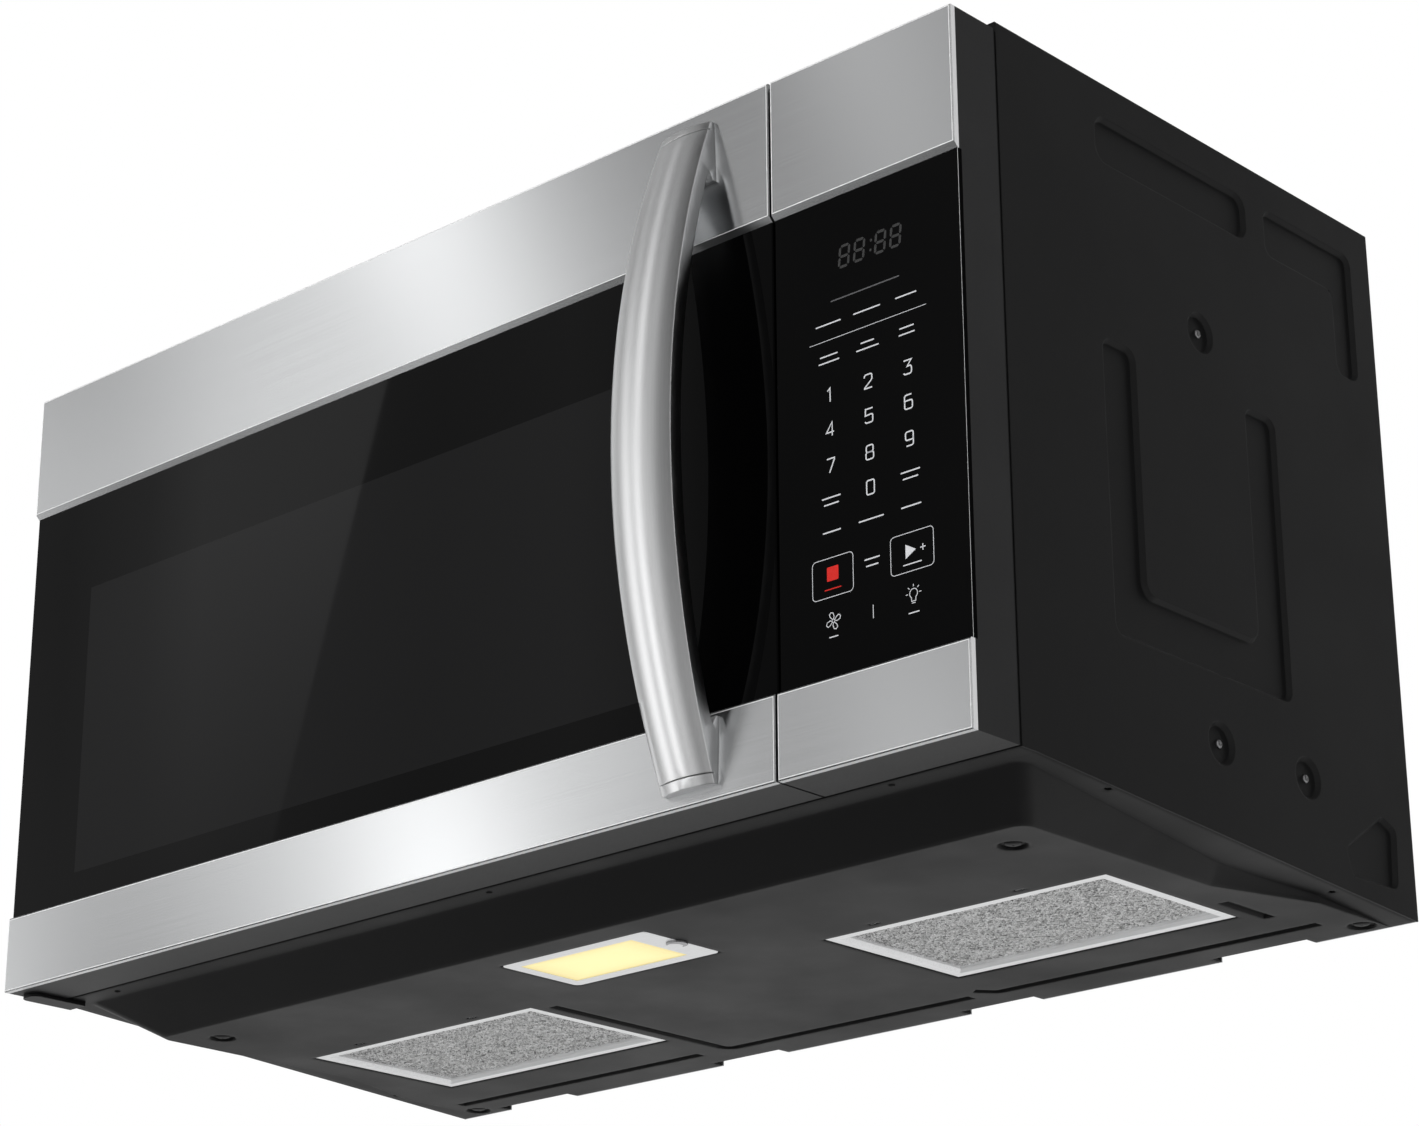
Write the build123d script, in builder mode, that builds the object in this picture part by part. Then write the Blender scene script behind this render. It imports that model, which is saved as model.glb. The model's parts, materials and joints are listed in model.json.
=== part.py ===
from build123d import *
import math
import os

os.makedirs("parts", exist_ok=True)

# Over-the-range microwave, in millimetres.
# x = 0 is the centre line, y = 0 the wall, z = 0 the rear bottom edge; the front faces -Y.

# ---- Whole appliance ----
WIDTH = 759.0
CASE_TOP = 418.0
CASE_DEPTH = 352.0
FACE_DEPTH = 38.0  # front plate to the face of the stainless bands
FACE_BOTTOM = 20.0
FACE_TOP = CASE_TOP - 5.0
DOOR_GAP = 2.0  # between the front plate and the back of the door
PANEL_WIDTH = 124.7
SEAM = 1.6  # between door and control panel
SHEET = 1.0  # chassis steel
PAN_SHEET = 1.2  # base pan steel
FIT = 0.2  # between nested fixed pieces
RUN_GAP = 0.3  # between surfaces that roll or slide past each other

# ---- Planes that the rest is placed from ----
HALF = WIDTH / 2
PLATE_Y = -CASE_DEPTH
FACE_Y = PLATE_Y - FACE_DEPTH
DOOR_BACK = PLATE_Y - DOOR_GAP
FRAME_BACK = PLATE_Y + SHEET
INNER_HALF = HALF - SHEET
TOP_INNER = CASE_TOP - SHEET
BACK_INNER = -SHEET
STRIP_TOP = FACE_BOTTOM + PAN_SHEET
DOOR_X = (-HALF, HALF - PANEL_WIDTH - SEAM)
PANEL_X = (HALF - PANEL_WIDTH, HALF)
FACE_Z = (FACE_BOTTOM, FACE_TOP)

# ---- Front of door and control panel ----
TOP_BAND = 82.0
BOTTOM_BAND = 46.7
BAND_DEPTH = 4.0
BAND_WALL = 1.0
TOP_BEVEL = 3.0
BOTTOM_BEVEL = 1.2
BAND_EDGE = 0.6
GLASS_SETBACK = 2.8
GLASS_THICKNESS = 3.2
SKIRT = 2.5  # moulded side walls
SKIRT_STEP = 0.9  # shadow line where the panel meets the case
FLANGE = 2.0  # moulded wall behind the glass
CORNER_ROUND = 2.0  # rear upright edge beside the hinge
GLASS_Y = FACE_Y + GLASS_SETBACK
GLASS_BACK = GLASS_Y + GLASS_THICKNESS
FLANGE_BACK = GLASS_BACK + FLANGE
TOP_BAND_Z = (FACE_TOP - TOP_BAND, FACE_TOP)
BOTTOM_BAND_Z = (FACE_BOTTOM, FACE_BOTTOM + BOTTOM_BAND)
GLASS_Z = (BOTTOM_BAND_Z[1], TOP_BAND_Z[0])

# ---- Oven cavity ----
CAVITY_X = (-HALF + 34.5, HALF - 184.5)
CAVITY_Z = (60.0, CASE_TOP - 113.0)
CAVITY_BACK = -15.0
CAVITY_CORNER = 14.0

# ---- Window and choke of the door ----
WINDOW_MARGIN_X = 20.0  # inside the cavity's mouth
WINDOW_Z = (CAVITY_Z[0] + 20.0, CAVITY_Z[1] - 30.0)
SCREEN_LAP = 10.0
SCREEN_THICKNESS = 0.6
CHOKE_WIDTH = 30.0
CHOKE_LIP = 18.0
CHOKE_OVERLAP = 4.0  # inner choke wall inside the cavity mouth
COVER_THICKNESS = 2.0
COVER_CROWN = 1.2
COVER_LAP = 8.0
PANE_THICKNESS = 2.0

# ---- Handle ----
HANDLE_X = DOOR_X[1] - 56.7
HANDLE_WIDTH = 43.0
HANDLE_END_WIDTH = 36.0
HANDLE_BOTTOM = FACE_BOTTOM + 7.0
HANDLE_TOP = FACE_TOP - 10.0
HANDLE_REACH = 43.0
HANDLE_SECTION = 12.0  # thickness of the bow at its middle
HANDLE_FOOT = 36.0  # height of each foot on its band
HANDLE_CROWN = 4.0
HANDLE_LIP = 2.5  # lip that each foot keeps against its band, beside a notch
HANDLE_NOTCH = 5.0
HANDLE_CAP = 5.0  # height of the end caps, each set off by a fine groove
CAP_GROOVE = 0.5
CAP_CORE = 3.0  # what the groove leaves against the band
HANDLE_SCREW_RADIUS = 2.0
HANDLE_SCREW_GAP = 0.8
SCREW_HEAD = 4.0

# ---- Hinges and latch ----
PIN_RADIUS = 4.0
PIN_CLEARANCE = 0.05
HINGE_INSET_X = 7.0
HINGE_INSET_Y = 12.5
HINGE_X = -HALF + HINGE_INSET_X
HINGE_Y = DOOR_BACK - HINGE_INSET_Y
LEAF_THICKNESS = 2.5
LEAF_WIDTH = 15.0
LEAF_GAP = 0.4
PIN_LENGTH = 11.0
LATCH_X = DOOR_X[1] - 13.2
LATCH_THICKNESS = 4.0
LATCH_BAR_WIDTH = 14.0
LATCH_BAR_DEPTH = 12.0
LATCH_TRAVEL = 4.0
HOOK_Z = (FACE_BOTTOM + 110.0, FACE_TOP - 63.0)
HOOK_HEIGHT = 12.0
HOOK_REACH = 24.0  # beyond the front plate
HOOK_TOOTH = 4.0
SLOT_CLEARANCE = 2.0

# ---- Turntable ----
TURN_X = sum(CAVITY_X) / 2
TURN_Y = (FRAME_BACK + CAVITY_BACK) / 2 + 1.0
SHAFT_RADIUS = 3.5
TURN_MOTOR_RADIUS = 25.0
TURN_MOTOR_HEIGHT = 18.0
TRAY_RADIUS = 157.5
TRAY_THICKNESS = 5.0
TRAY_RIM = 14.0
TRACK_RADIUS = 98.0
ROLLER_RADIUS = 9.0
ROLLER_WIDTH = 8.0
AXLE_RADIUS = 2.5
AXLE_CLEARANCE = 0.05
RING_WIDTH = 10.0
RING_HEIGHT = 6.0
COUPLER_HUB = 9.0
COUPLER_REACH = 22.0
COUPLER_ARM = 9.0
COUPLER_HEIGHT = 11.0

# ---- Base pan and what hangs in it ----
STRIP_BACK = PLATE_Y + 12.0
PAN_FRONT = (PLATE_Y + 52.0, PLATE_Y + 16.0)  # floor edge and rim edge of the front slope
PAN_RIM_X = HALF - 12.5
PAN_FLOOR_X = (HALF - 40.0, HALF - 17.5)  # floor half width at the front and at the rear
PAN_FLOOR_Y = (PLATE_Y + 212.0, -70.0)
PAN_CORNER = 9.0
FILTER_X = (HALF - 262.5, HALF - 67.5)
FILTER_Y = (-196.0, -77.0)
FILTER_HEIGHT = 8.0
FILTER_BORDER = 8.0
FILTER_GAP = 0.8
FILTER_LIP = 5.0
FILTER_CHAMFER = 2.0
MESH_THICKNESS = 2.0
MESH_RECESS = 3.8
LAMP_Y = PLATE_Y + 104.0
LAMP_PLATE = (114.0, 63.0)
LAMP_LENS = (88.0, 46.0)
LAMP_BOX_HEIGHT = 34.0
LAMP_SCREW_X = 51.0
HOOK_SLOTS_X = (
    (-HALF + 45.5, -HALF + 108.5),
    (-139.0, -83.0),
    (65.0, 120.0),
    (HALF - 130.5, HALF - 66.5),
)
HOOK_SLOT_HEIGHT = 6.0
HOOK_SLOT_DEPTH = 9.0

# ---- Case ----
EMBOSS = 2.5
EMBOSS_SLOPE = 40.0
DIMPLE_RADIUS = 12.0
CASE_SCREWS = ((-179.0, CASE_TOP - 122.0), (-181.0, 61.0), (-101.0, 60.0))
CABINET_BOLT_X = 305.0
CABINET_BOLT_Y = -215.0
CABINET_BOLT_RADIUS = 3.3
CORD_HOLE = (HALF - 79.5, -60.0)
CORD_HOLE_RADIUS = 12.0
GRILLE_X = HALF - 79.5
GRILLE_Y = (PLATE_Y + 6.0, PLATE_Y + 56.0)
GRILLE_PITCH = 26.0
GRILLE_SLOT = (7.0, 34.0)

# ---- Blower and fan ----
BLOWER_Y = -82.0
BLOWER_Z = CAVITY_Z[1] + 54.0
SCROLL_RADIUS = 50.0
SCROLL_WALL = 1.5
SCROLL_X = (46.0, 118.0)
WHEEL_RADIUS = 43.0
WHEEL_RING = 8.0
WHEEL_BLADES = 20
WHEEL_GAP = 4.0
BLOWER_SHAFT = 4.0
BLOWER_MOTOR_RADIUS = 36.0
BLOWER_MOTOR_LENGTH = 72.0
SHELF_Z = 60.0
FAN_X = HALF - 92.5
FAN_Y = -60.0
FAN_Z = 180.0
FAN_RADIUS = 58.0
FAN_DUCT_GAP = 4.0
FAN_BLADES = 5
FAN_SHAFT = 3.0


def front_plane(y):
    """A sketch plane that faces the front, where sketch x and y are the model's x and z."""
    return Plane.XZ.offset(-y)


def side_plane(x):
    """A sketch plane that faces +X, where sketch x and y are the model's y and z."""
    return Plane.YZ.offset(x)


def inset(span, amount, other=None):
    """A span with both ends moved inwards, by two amounts where they differ."""
    return (span[0] + amount, span[1] - (amount if other is None else other))


def area(first, second, mode=Mode.ADD):
    """A rectangle in the current sketch, between two spans."""
    with Locations((sum(first) / 2, sum(second) / 2)):
        Rectangle(first[1] - first[0], second[1] - second[0], mode=mode)


def block(x_span, y_span, z_span, mode=Mode.ADD):
    """A box in the current part, between three spans."""
    spans = (x_span, y_span, z_span)
    with Locations(tuple(sum(span) / 2 for span in spans)):
        Box(*(span[1] - span[0] for span in spans), mode=mode)


def save(piece, label):
    """Label a finished piece and write it under the same name."""
    piece.part.label = label
    export_step(piece.part, f"parts/{label}.step")


# ---- Case wrap: top and both sides from one folded sheet, with pressed stiffeners ----
U_OUTER = ((-270.0, -111.0), (99.0, 265.0))
U_ARM = 29.0
CAPSULE = ((-268.0, -127.0), (CASE_TOP - 49.0, CASE_TOP - 21.0))
ANGLE = ((-109.0, -20.0), (CASE_TOP - 50.0, CASE_TOP - 21.0))
ANGLE_LEG = (-42.0, CASE_TOP - 102.0)
TRIANGLE = ((-68.0, 29.0), (-30.0, 54.0), (-16.0, 49.0), (-18.0, 14.0), (-63.0, 13.0))
DIMPLE_SIDES = 12  # the hidden inner skin of a dimple is a polygon


def side_outlines():
    """Each pressed shape on one side of the case: its points, its corner radius and its inner corners."""
    (y0, y1), (z0, z1) = U_OUTER
    u_shape = [
        (y0, z0),
        (y1, z0),
        (y1, z1),
        (y1 - U_ARM, z1),
        (y1 - U_ARM, z0 + U_ARM),
        (y0 + U_ARM, z0 + U_ARM),
        (y0 + U_ARM, z1),
        (y0, z1),
    ]
    (y0, y1), (z0, z1) = ANGLE
    leg_y, leg_z = ANGLE_LEG
    angle = [(y0, z0), (leg_y, z0), (leg_y, leg_z), (y1, leg_z), (y1, z1), (y0, z1)]
    (y0, y1), (z0, z1) = CAPSULE
    capsule = [(y0, z0), (y1, z0), (y1, z1), (y0, z1)]
    return (
        (u_shape, U_ARM / 4, u_shape[4:6]),
        (angle, U_ARM / 4, angle[2:3]),
        (capsule, U_ARM / 3, ()),
        (TRIANGLE, U_ARM / 5, ()),
    )


with BuildPart() as outer_case:
    with BuildSketch(side_plane(HALF)):
        with BuildLine():
            Polyline(
                (PLATE_Y, FACE_BOTTOM),
                (STRIP_BACK, FACE_BOTTOM),
                (0, 0),
                (0, CASE_TOP),
                (PLATE_Y, CASE_TOP),
                close=True,
            )
        make_face()
    extrude(amount=-SHEET)
    block((0, HALF), (PLATE_Y, 0), (TOP_INNER, CASE_TOP))
    top_corner = outer_case.edges().filter_by(Axis.Y).group_by(Axis.X)[-1].sort_by(Axis.Z)[-1]
    fillet(top_corner, radius=SHEET * 0.9)
    for points, corner, inner_corners in side_outlines():
        with BuildSketch(side_plane(INNER_HALF)) as outline:
            with BuildLine():
                Polyline(*points, close=True)
            make_face()
            for point in inner_corners:
                fillet(outline.vertices().sort_by_distance(Vector(*point))[0], radius=corner)
        extrude(amount=-EMBOSS, taper=EMBOSS_SLOPE)
    with BuildSketch(side_plane(INNER_HALF)):
        with Locations(*CASE_SCREWS):
            RegularPolygon(DIMPLE_RADIUS, DIMPLE_SIDES, major_radius=False)
    extrude(amount=-EMBOSS, taper=EMBOSS_SLOPE)
    for points, corner, _ in side_outlines():
        with BuildSketch(side_plane(HALF)) as outline:
            with BuildLine():
                Polyline(*points, close=True)
            make_face()
            fillet(outline.vertices(), radius=corner)
        extrude(amount=-EMBOSS, taper=EMBOSS_SLOPE, mode=Mode.SUBTRACT)
    with BuildSketch(side_plane(HALF)):
        with Locations(*CASE_SCREWS):
            Circle(DIMPLE_RADIUS)
    extrude(amount=-EMBOSS, taper=EMBOSS_SLOPE, mode=Mode.SUBTRACT)
    mirror(about=Plane.YZ)
    # openings in the top: exhaust grille, cabinet bolts, supply cord
    block(
        (-GRILLE_X - FIT, GRILLE_X + FIT),
        inset(GRILLE_Y, -FIT),
        (TOP_INNER, CASE_TOP),
        mode=Mode.SUBTRACT,
    )
    with BuildSketch(Plane.XY.offset(CASE_TOP)):
        with Locations((-CABINET_BOLT_X, CABINET_BOLT_Y), (CABINET_BOLT_X, CABINET_BOLT_Y)):
            Circle(CABINET_BOLT_RADIUS)
        with Locations(CORD_HOLE):
            Circle(CORD_HOLE_RADIUS)
    extrude(amount=-SHEET, mode=Mode.SUBTRACT)
save(outer_case, "outer_case")

DIMPLE_INNER = HALF - EMBOSS - SHEET  # where parts inside meet the dimples

# ---- Rear panel: flat against the wall plate, with slots for its hooks and pressed ribs ----
RIB_DEPTH = 4.0
RIB_HALF_HEIGHT = 14.0
RIB_HALF_LENGTH = HALF - 39.5
RIB_Z = (90.0, CASE_TOP - 118.0)
with BuildPart() as rear_panel:
    with BuildSketch(front_plane(0)):
        area((-INNER_HALF, INNER_HALF), (0, TOP_INNER))
        for span in HOOK_SLOTS_X:
            area(span, (0, HOOK_SLOT_HEIGHT), mode=Mode.SUBTRACT)
    extrude(amount=SHEET)
    for rib_z in RIB_Z:
        with BuildSketch(front_plane(BACK_INNER)):
            area((-RIB_HALF_LENGTH, RIB_HALF_LENGTH), (rib_z - RIB_HALF_HEIGHT, rib_z + RIB_HALF_HEIGHT))
        extrude(amount=RIB_DEPTH, taper=EMBOSS_SLOPE)
        with BuildSketch(front_plane(0)):
            area((-RIB_HALF_LENGTH, RIB_HALF_LENGTH), (rib_z - RIB_HALF_HEIGHT, rib_z + RIB_HALF_HEIGHT))
        extrude(amount=RIB_DEPTH, taper=EMBOSS_SLOPE, mode=Mode.SUBTRACT)
save(rear_panel, "rear_panel")

# ---- Base pan: sloping rim, steep front and side walls, level floor ----
OVERRUN = 10.0  # how far the forming solids run past the sheet that they cut


def pan_form(lift, pull):
    """The solid above the pan's skin, raised by lift and pulled in by pull."""
    run = OVERRUN if lift else 0
    with BuildPart() as form:
        with BuildSketch(side_plane(-INNER_HALF - run)):
            with BuildLine():
                Polyline(
                    (PLATE_Y - run, FACE_BOTTOM + lift),
                    (STRIP_BACK, FACE_BOTTOM + lift),
                    (0, lift),
                    (OVERRUN, lift),
                    (OVERRUN, FACE_BOTTOM + OVERRUN + run),
                    (PLATE_Y - run, FACE_BOTTOM + OVERRUN + run),
                    close=True,
                )
            make_face()
        extrude(amount=2 * (INNER_HALF + run))
        sections = ((0, PAN_FRONT[0], *PAN_FLOOR_X), (FACE_BOTTOM, PAN_FRONT[1], PAN_RIM_X, PAN_RIM_X))
        for z, front, front_x, rear_x in sections:
            with BuildSketch(Plane.XY.offset(z + lift)) as outline:
                with BuildLine():
                    Polyline(
                        (-front_x + pull, front + pull),
                        (front_x - pull, front + pull),
                        (front_x - pull, PAN_FLOOR_Y[0]),
                        (rear_x - pull, PAN_FLOOR_Y[1]),
                        (rear_x - pull, OVERRUN),
                        (-rear_x + pull, OVERRUN),
                        (-rear_x + pull, PAN_FLOOR_Y[1]),
                        (-front_x + pull, PAN_FLOOR_Y[0]),
                        close=True,
                    )
                make_face()
                fillet(outline.vertices().group_by(Axis.Y)[0], radius=PAN_CORNER)
        loft(ruled=True)
    return form.part


LAMP_X_SPAN = (-LAMP_PLATE[0] / 2, LAMP_PLATE[0] / 2)
LAMP_Y_SPAN = (LAMP_Y - LAMP_PLATE[1] / 2, LAMP_Y + LAMP_PLATE[1] / 2)
MOUTH_X = inset(FILTER_X, -FILTER_GAP)
MOUTH_Y = (FILTER_Y[0] - FILTER_GAP, FILTER_Y[1] + FILTER_GAP)
RIM_HOLES = ((HALF - 5.5, PLATE_Y + 76.0), (HALF - 8.5, -72.0))
RIM_HOLE_RADIUS = 2.0
BUMPS = ((HALF - 68.5, PLATE_Y + 79.0), (HALF - 27.5, -14.0))
BUMP_RADIUS = 8.5
BUMP_HEIGHT = 1.6
LANCES = ((FILTER_X[0] + 43.0, FILTER_Y[0] - 8.0), (FILTER_X[1] - 51.0, FILTER_Y[0] - 8.0))
LANCE = (8.0, 2.0)  # cut beside each pressed tab in front of the filters
BEAD_WIDTH = 7.0
BEAD_DEPTH = 2.0
BEAD_Y = -34.0
BEAD_X = -104.0
BEADS = (
    ((-HALF + 31.5, BEAD_Y), (-128.0, BEAD_Y)),
    ((BEAD_X, -190.0), (BEAD_X, BEAD_Y), (92.0, BEAD_Y)),
    ((103.0, -45.0), (112.0, BEAD_Y), (HALF - 42.5, BEAD_Y)),
    ((HALF - 54.5, -108.0), (HALF - 54.5, -64.0)),
)

with BuildPart() as base_plate:
    add(pan_form(0, 0))
    add(pan_form(PAN_SHEET, PAN_SHEET * 0.6), mode=Mode.SUBTRACT)
    block((-WIDTH, WIDTH), (BACK_INNER, 2 * OVERRUN), (-OVERRUN, WIDTH), mode=Mode.SUBTRACT)
    with BuildSketch(Plane.XY.offset(-1)):
        for side in (MOUTH_X, (-MOUTH_X[1], -MOUTH_X[0])):
            area(side, MOUTH_Y)
        area(inset(LAMP_X_SPAN, -FIT), inset(LAMP_Y_SPAN, -FIT))
        for span in HOOK_SLOTS_X:
            area(span, (BACK_INNER - HOOK_SLOT_DEPTH, BACK_INNER))
        for lance_x, lance_y in LANCES:
            with Locations((lance_x, lance_y), (-lance_x, lance_y)):
                Rectangle(*LANCE)
    extrude(amount=FACE_BOTTOM / 2, mode=Mode.SUBTRACT)
    with BuildSketch(Plane.XY.offset(-1)):
        for hole_x, hole_y in RIM_HOLES:
            with Locations((hole_x, hole_y), (-hole_x, hole_y)):
                Circle(RIM_HOLE_RADIUS)
    extrude(amount=FACE_BOTTOM + OVERRUN, mode=Mode.SUBTRACT)
    # pressed beads and bumps: the same form is added above the sheet and taken from below
    for lift, mode in ((PAN_SHEET, Mode.ADD), (0, Mode.SUBTRACT)):
        for points in BEADS:
            with BuildSketch(Plane.XY.offset(lift)):
                with BuildLine() as route:
                    Polyline(*points)
                    if len(points) > 2:
                        fillet(route.vertices().sort_by_distance(points[1])[0], radius=BEAD_WIDTH)
                trace(line_width=BEAD_WIDTH)
            extrude(amount=BEAD_DEPTH, taper=EMBOSS_SLOPE, mode=mode)
        with BuildSketch(Plane.XY.offset(lift)):
            for bump_x, bump_y in BUMPS:
                with Locations((bump_x, bump_y), (-bump_x, bump_y)):
                    Circle(BUMP_RADIUS)
        extrude(amount=BUMP_HEIGHT, taper=EMBOSS_SLOPE, mode=mode)
save(base_plate, "base_plate")

# ---- Front plate: closes the chassis behind the door ----
SLOT_X = (LATCH_X - LATCH_THICKNESS / 2 - SLOT_CLEARANCE, LATCH_X + LATCH_THICKNESS / 2 + SLOT_CLEARANCE)
WIRING_X = inset(PANEL_X, 15.2, 14.5)
WIRING_Z = (FACE_BOTTOM + 75.0, FACE_TOP - 78.0)
AIR_X = inset(DOOR_X, 99.5, 28.2)
AIR_Z = (CAVITY_Z[1] + 20.0, TOP_INNER - 17.0)
LEAF_X = (-INNER_HALF, -INNER_HALF + LEAF_WIDTH)


def hook_slot_z(hook_z):
    """Height of the slot that lets one hook in, with its tooth and its travel."""
    low = hook_z - HOOK_HEIGHT / 2 - HOOK_TOOTH - SLOT_CLEARANCE
    return (low, hook_z + HOOK_HEIGHT / 2 + LATCH_TRAVEL + SLOT_CLEARANCE)


with BuildPart() as front_frame:
    with BuildSketch(front_plane(PLATE_Y)):
        area((-INNER_HALF, INNER_HALF), (STRIP_TOP, TOP_INNER))
        area(CAVITY_X, CAVITY_Z, mode=Mode.SUBTRACT)
        area(WIRING_X, WIRING_Z, mode=Mode.SUBTRACT)
        area(AIR_X, AIR_Z, mode=Mode.SUBTRACT)
        area(LEAF_X, (TOP_INNER - LEAF_THICKNESS, TOP_INNER), mode=Mode.SUBTRACT)
        for hook_z in HOOK_Z:
            area(SLOT_X, hook_slot_z(hook_z), mode=Mode.SUBTRACT)
    extrude(amount=-SHEET)
save(front_frame, "front_frame")

# ---- Oven cavity: side walls, rear wall and ceiling, open at the front plate, on its own floor ----
CAVITY_OUT_X = inset(CAVITY_X, -SHEET)
CAVITY_OUT_Z = inset(CAVITY_Z, -SHEET)
GUIDE_Y = (-228.0, -142.0)
GUIDE_Z = (CAVITY_Z[1] - 103.0, CAVITY_Z[1] - 17.0)
LAMP_SLOTS_Y = PLATE_Y + 52.0
AIR_SLOTS_Y = -60.0
LAMP_SLOTS_Z = CAVITY_Z[1] - 43.0
LAMP_SLOT = (2.5, 26.0)
CAVITY_OUT_Y = (FRAME_BACK, CAVITY_BACK + SHEET)
with BuildPart() as oven_cavity:
    block(CAVITY_OUT_X, CAVITY_OUT_Y, (CAVITY_Z[0], CAVITY_OUT_Z[1]))
    rear_edges = oven_cavity.edges().filter_by(Axis.Z).group_by(Axis.Y)[-1]
    fillet(rear_edges, radius=CAVITY_CORNER + SHEET)
    mouth, underside = oven_cavity.faces().sort_by(Axis.Y)[0], oven_cavity.faces().sort_by(Axis.Z)[0]
    offset(amount=-SHEET, openings=[mouth, underside])
    # waveguide mouth, lamp slots and air slots in the right wall
    with BuildSketch(side_plane(CAVITY_X[1])):
        area(GUIDE_Y, GUIDE_Z)
        with Locations((LAMP_SLOTS_Y, LAMP_SLOTS_Z)):
            with GridLocations(2 * LAMP_SLOT[0], 0, 6, 1):
                Rectangle(*LAMP_SLOT)
        with Locations((AIR_SLOTS_Y, LAMP_SLOTS_Z)):
            with GridLocations(2 * LAMP_SLOT[0], 0, 8, 1):
                Rectangle(*LAMP_SLOT)
    extrude(amount=SHEET, mode=Mode.SUBTRACT)
save(oven_cavity, "oven_cavity")

SUPPORT_X = inset(CAVITY_OUT_X, CAVITY_CORNER)
SUPPORT_Y = (-28.0, -12.0)
with BuildPart() as cavity_floor:
    block(CAVITY_OUT_X, CAVITY_OUT_Y, (CAVITY_OUT_Z[0], CAVITY_Z[0]))
    rear_edges = cavity_floor.edges().filter_by(Axis.Z).group_by(Axis.Y)[-1]
    fillet(rear_edges, radius=CAVITY_CORNER + SHEET)
    with BuildSketch(Plane.XY.offset(CAVITY_OUT_Z[0])):
        with Locations((TURN_X, TURN_Y)):
            Circle(SHAFT_RADIUS + SLOT_CLEARANCE)
    extrude(amount=SHEET, mode=Mode.SUBTRACT)
    # bracket welded under the rear edge, standing on the base pan
    block(SUPPORT_X, SUPPORT_Y, (PAN_SHEET, CAVITY_OUT_Z[0]))
    block(
        SUPPORT_X,
        (SUPPORT_Y[0], SUPPORT_Y[1] - SHEET),
        (PAN_SHEET + SHEET, CAVITY_OUT_Z[0] - SHEET),
        mode=Mode.SUBTRACT,
    )
save(cavity_floor, "cavity_floor")

COVER_MARGIN = 8.0
with BuildPart() as waveguide_cover:
    with BuildSketch(side_plane(CAVITY_X[1])) as outline:
        area(inset(GUIDE_Y, -COVER_MARGIN), inset(GUIDE_Z, -COVER_MARGIN))
        fillet(outline.vertices(), radius=COVER_MARGIN)
    extrude(amount=-SCREEN_THICKNESS)
save(waveguide_cover, "waveguide_cover")

# ---- Waveguide and magnetron on the right wall ----
GUIDE_DEPTH = 44.0
ANTENNA_HOLE = 17.0
GUIDE_OUT = CAVITY_OUT_X[1] + GUIDE_DEPTH
MAGNETRON_Y = sum(GUIDE_Y) / 2
MAGNETRON_Z = sum(GUIDE_Z) / 2
with BuildPart() as waveguide:
    with BuildSketch(side_plane(CAVITY_OUT_X[1])):
        area(GUIDE_Y, GUIDE_Z)
    extrude(amount=GUIDE_DEPTH)
    offset(amount=-SHEET, openings=waveguide.faces().sort_by(Axis.X)[0])
    with BuildSketch(side_plane(GUIDE_OUT)):
        with Locations((MAGNETRON_Y, MAGNETRON_Z)):
            Circle(ANTENNA_HOLE)
    extrude(amount=-SHEET, mode=Mode.SUBTRACT)
save(waveguide, "waveguide")

MAG_FLANGE = (90.0, 78.0)
MAG_FIN = (74.0, 62.0)
MAG_FINS = 5
ANODE_SIDES = 8
MAG_PITCH = 9.0
MAG_WALL = 1.5
MAG_YOKE = 66.0
MAG_ANODE = 19.0
MAG_ANTENNA = 8.0
MAG_BOX = (60.0, 50.0, 26.0)
with BuildPart() as magnetron:
    with BuildSketch(side_plane(GUIDE_OUT)):
        with Locations((MAGNETRON_Y, MAGNETRON_Z)):
            Rectangle(*MAG_FLANGE)
    extrude(amount=MAG_WALL)
    with BuildSketch(side_plane(GUIDE_OUT)):
        with Locations((MAGNETRON_Y, MAGNETRON_Z)):
            RegularPolygon(MAG_ANODE, ANODE_SIDES)
    extrude(amount=MAG_YOKE)
    with BuildSketch(side_plane(GUIDE_OUT)):
        with Locations((MAGNETRON_Y, MAGNETRON_Z)):
            Circle(MAG_ANTENNA)
    extrude(amount=-GUIDE_DEPTH / 3)
    for fin in range(MAG_FINS):
        with BuildSketch(side_plane(GUIDE_OUT + MAG_PITCH * (fin + 1.5))):
            with Locations((MAGNETRON_Y, MAGNETRON_Z)):
                Rectangle(*MAG_FIN)
        extrude(amount=MAG_WALL)
    # yoke: two cheeks and an end plate, then the filter box
    with BuildSketch(side_plane(GUIDE_OUT)):
        with Locations((MAGNETRON_Y, MAGNETRON_Z)):
            Rectangle(MAG_FIN[0], MAG_FLANGE[1])
            Rectangle(MAG_FIN[0], MAG_FLANGE[1] - 2 * MAG_WALL, mode=Mode.SUBTRACT)
    extrude(amount=MAG_YOKE)
    with BuildSketch(side_plane(GUIDE_OUT + MAG_YOKE)):
        with Locations((MAGNETRON_Y, MAGNETRON_Z)):
            Rectangle(MAG_FIN[0], MAG_FLANGE[1])
    extrude(amount=MAG_WALL)
    with BuildSketch(side_plane(GUIDE_OUT + MAG_YOKE + MAG_WALL)):
        with Locations((MAGNETRON_Y, MAGNETRON_Z)):
            Rectangle(MAG_BOX[0], MAG_BOX[1])
    extrude(amount=MAG_BOX[2])
save(magnetron, "magnetron")

# ---- Component shelf, transformer and capacitor in the right compartment ----
SHELF_FLANGE = 12.0
SHELF_X = (CAVITY_OUT_X[1], DIMPLE_INNER)
with BuildPart() as component_shelf:
    block(SHELF_X, (FRAME_BACK, BACK_INNER - RIB_DEPTH), (SHELF_Z, SHELF_Z + SHEET))
    block((SHELF_X[1] - SHEET, SHELF_X[1]), (FRAME_BACK, BACK_INNER - RIB_DEPTH), (SHELF_Z - SHELF_FLANGE, SHELF_Z))
save(component_shelf, "component_shelf")

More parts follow.
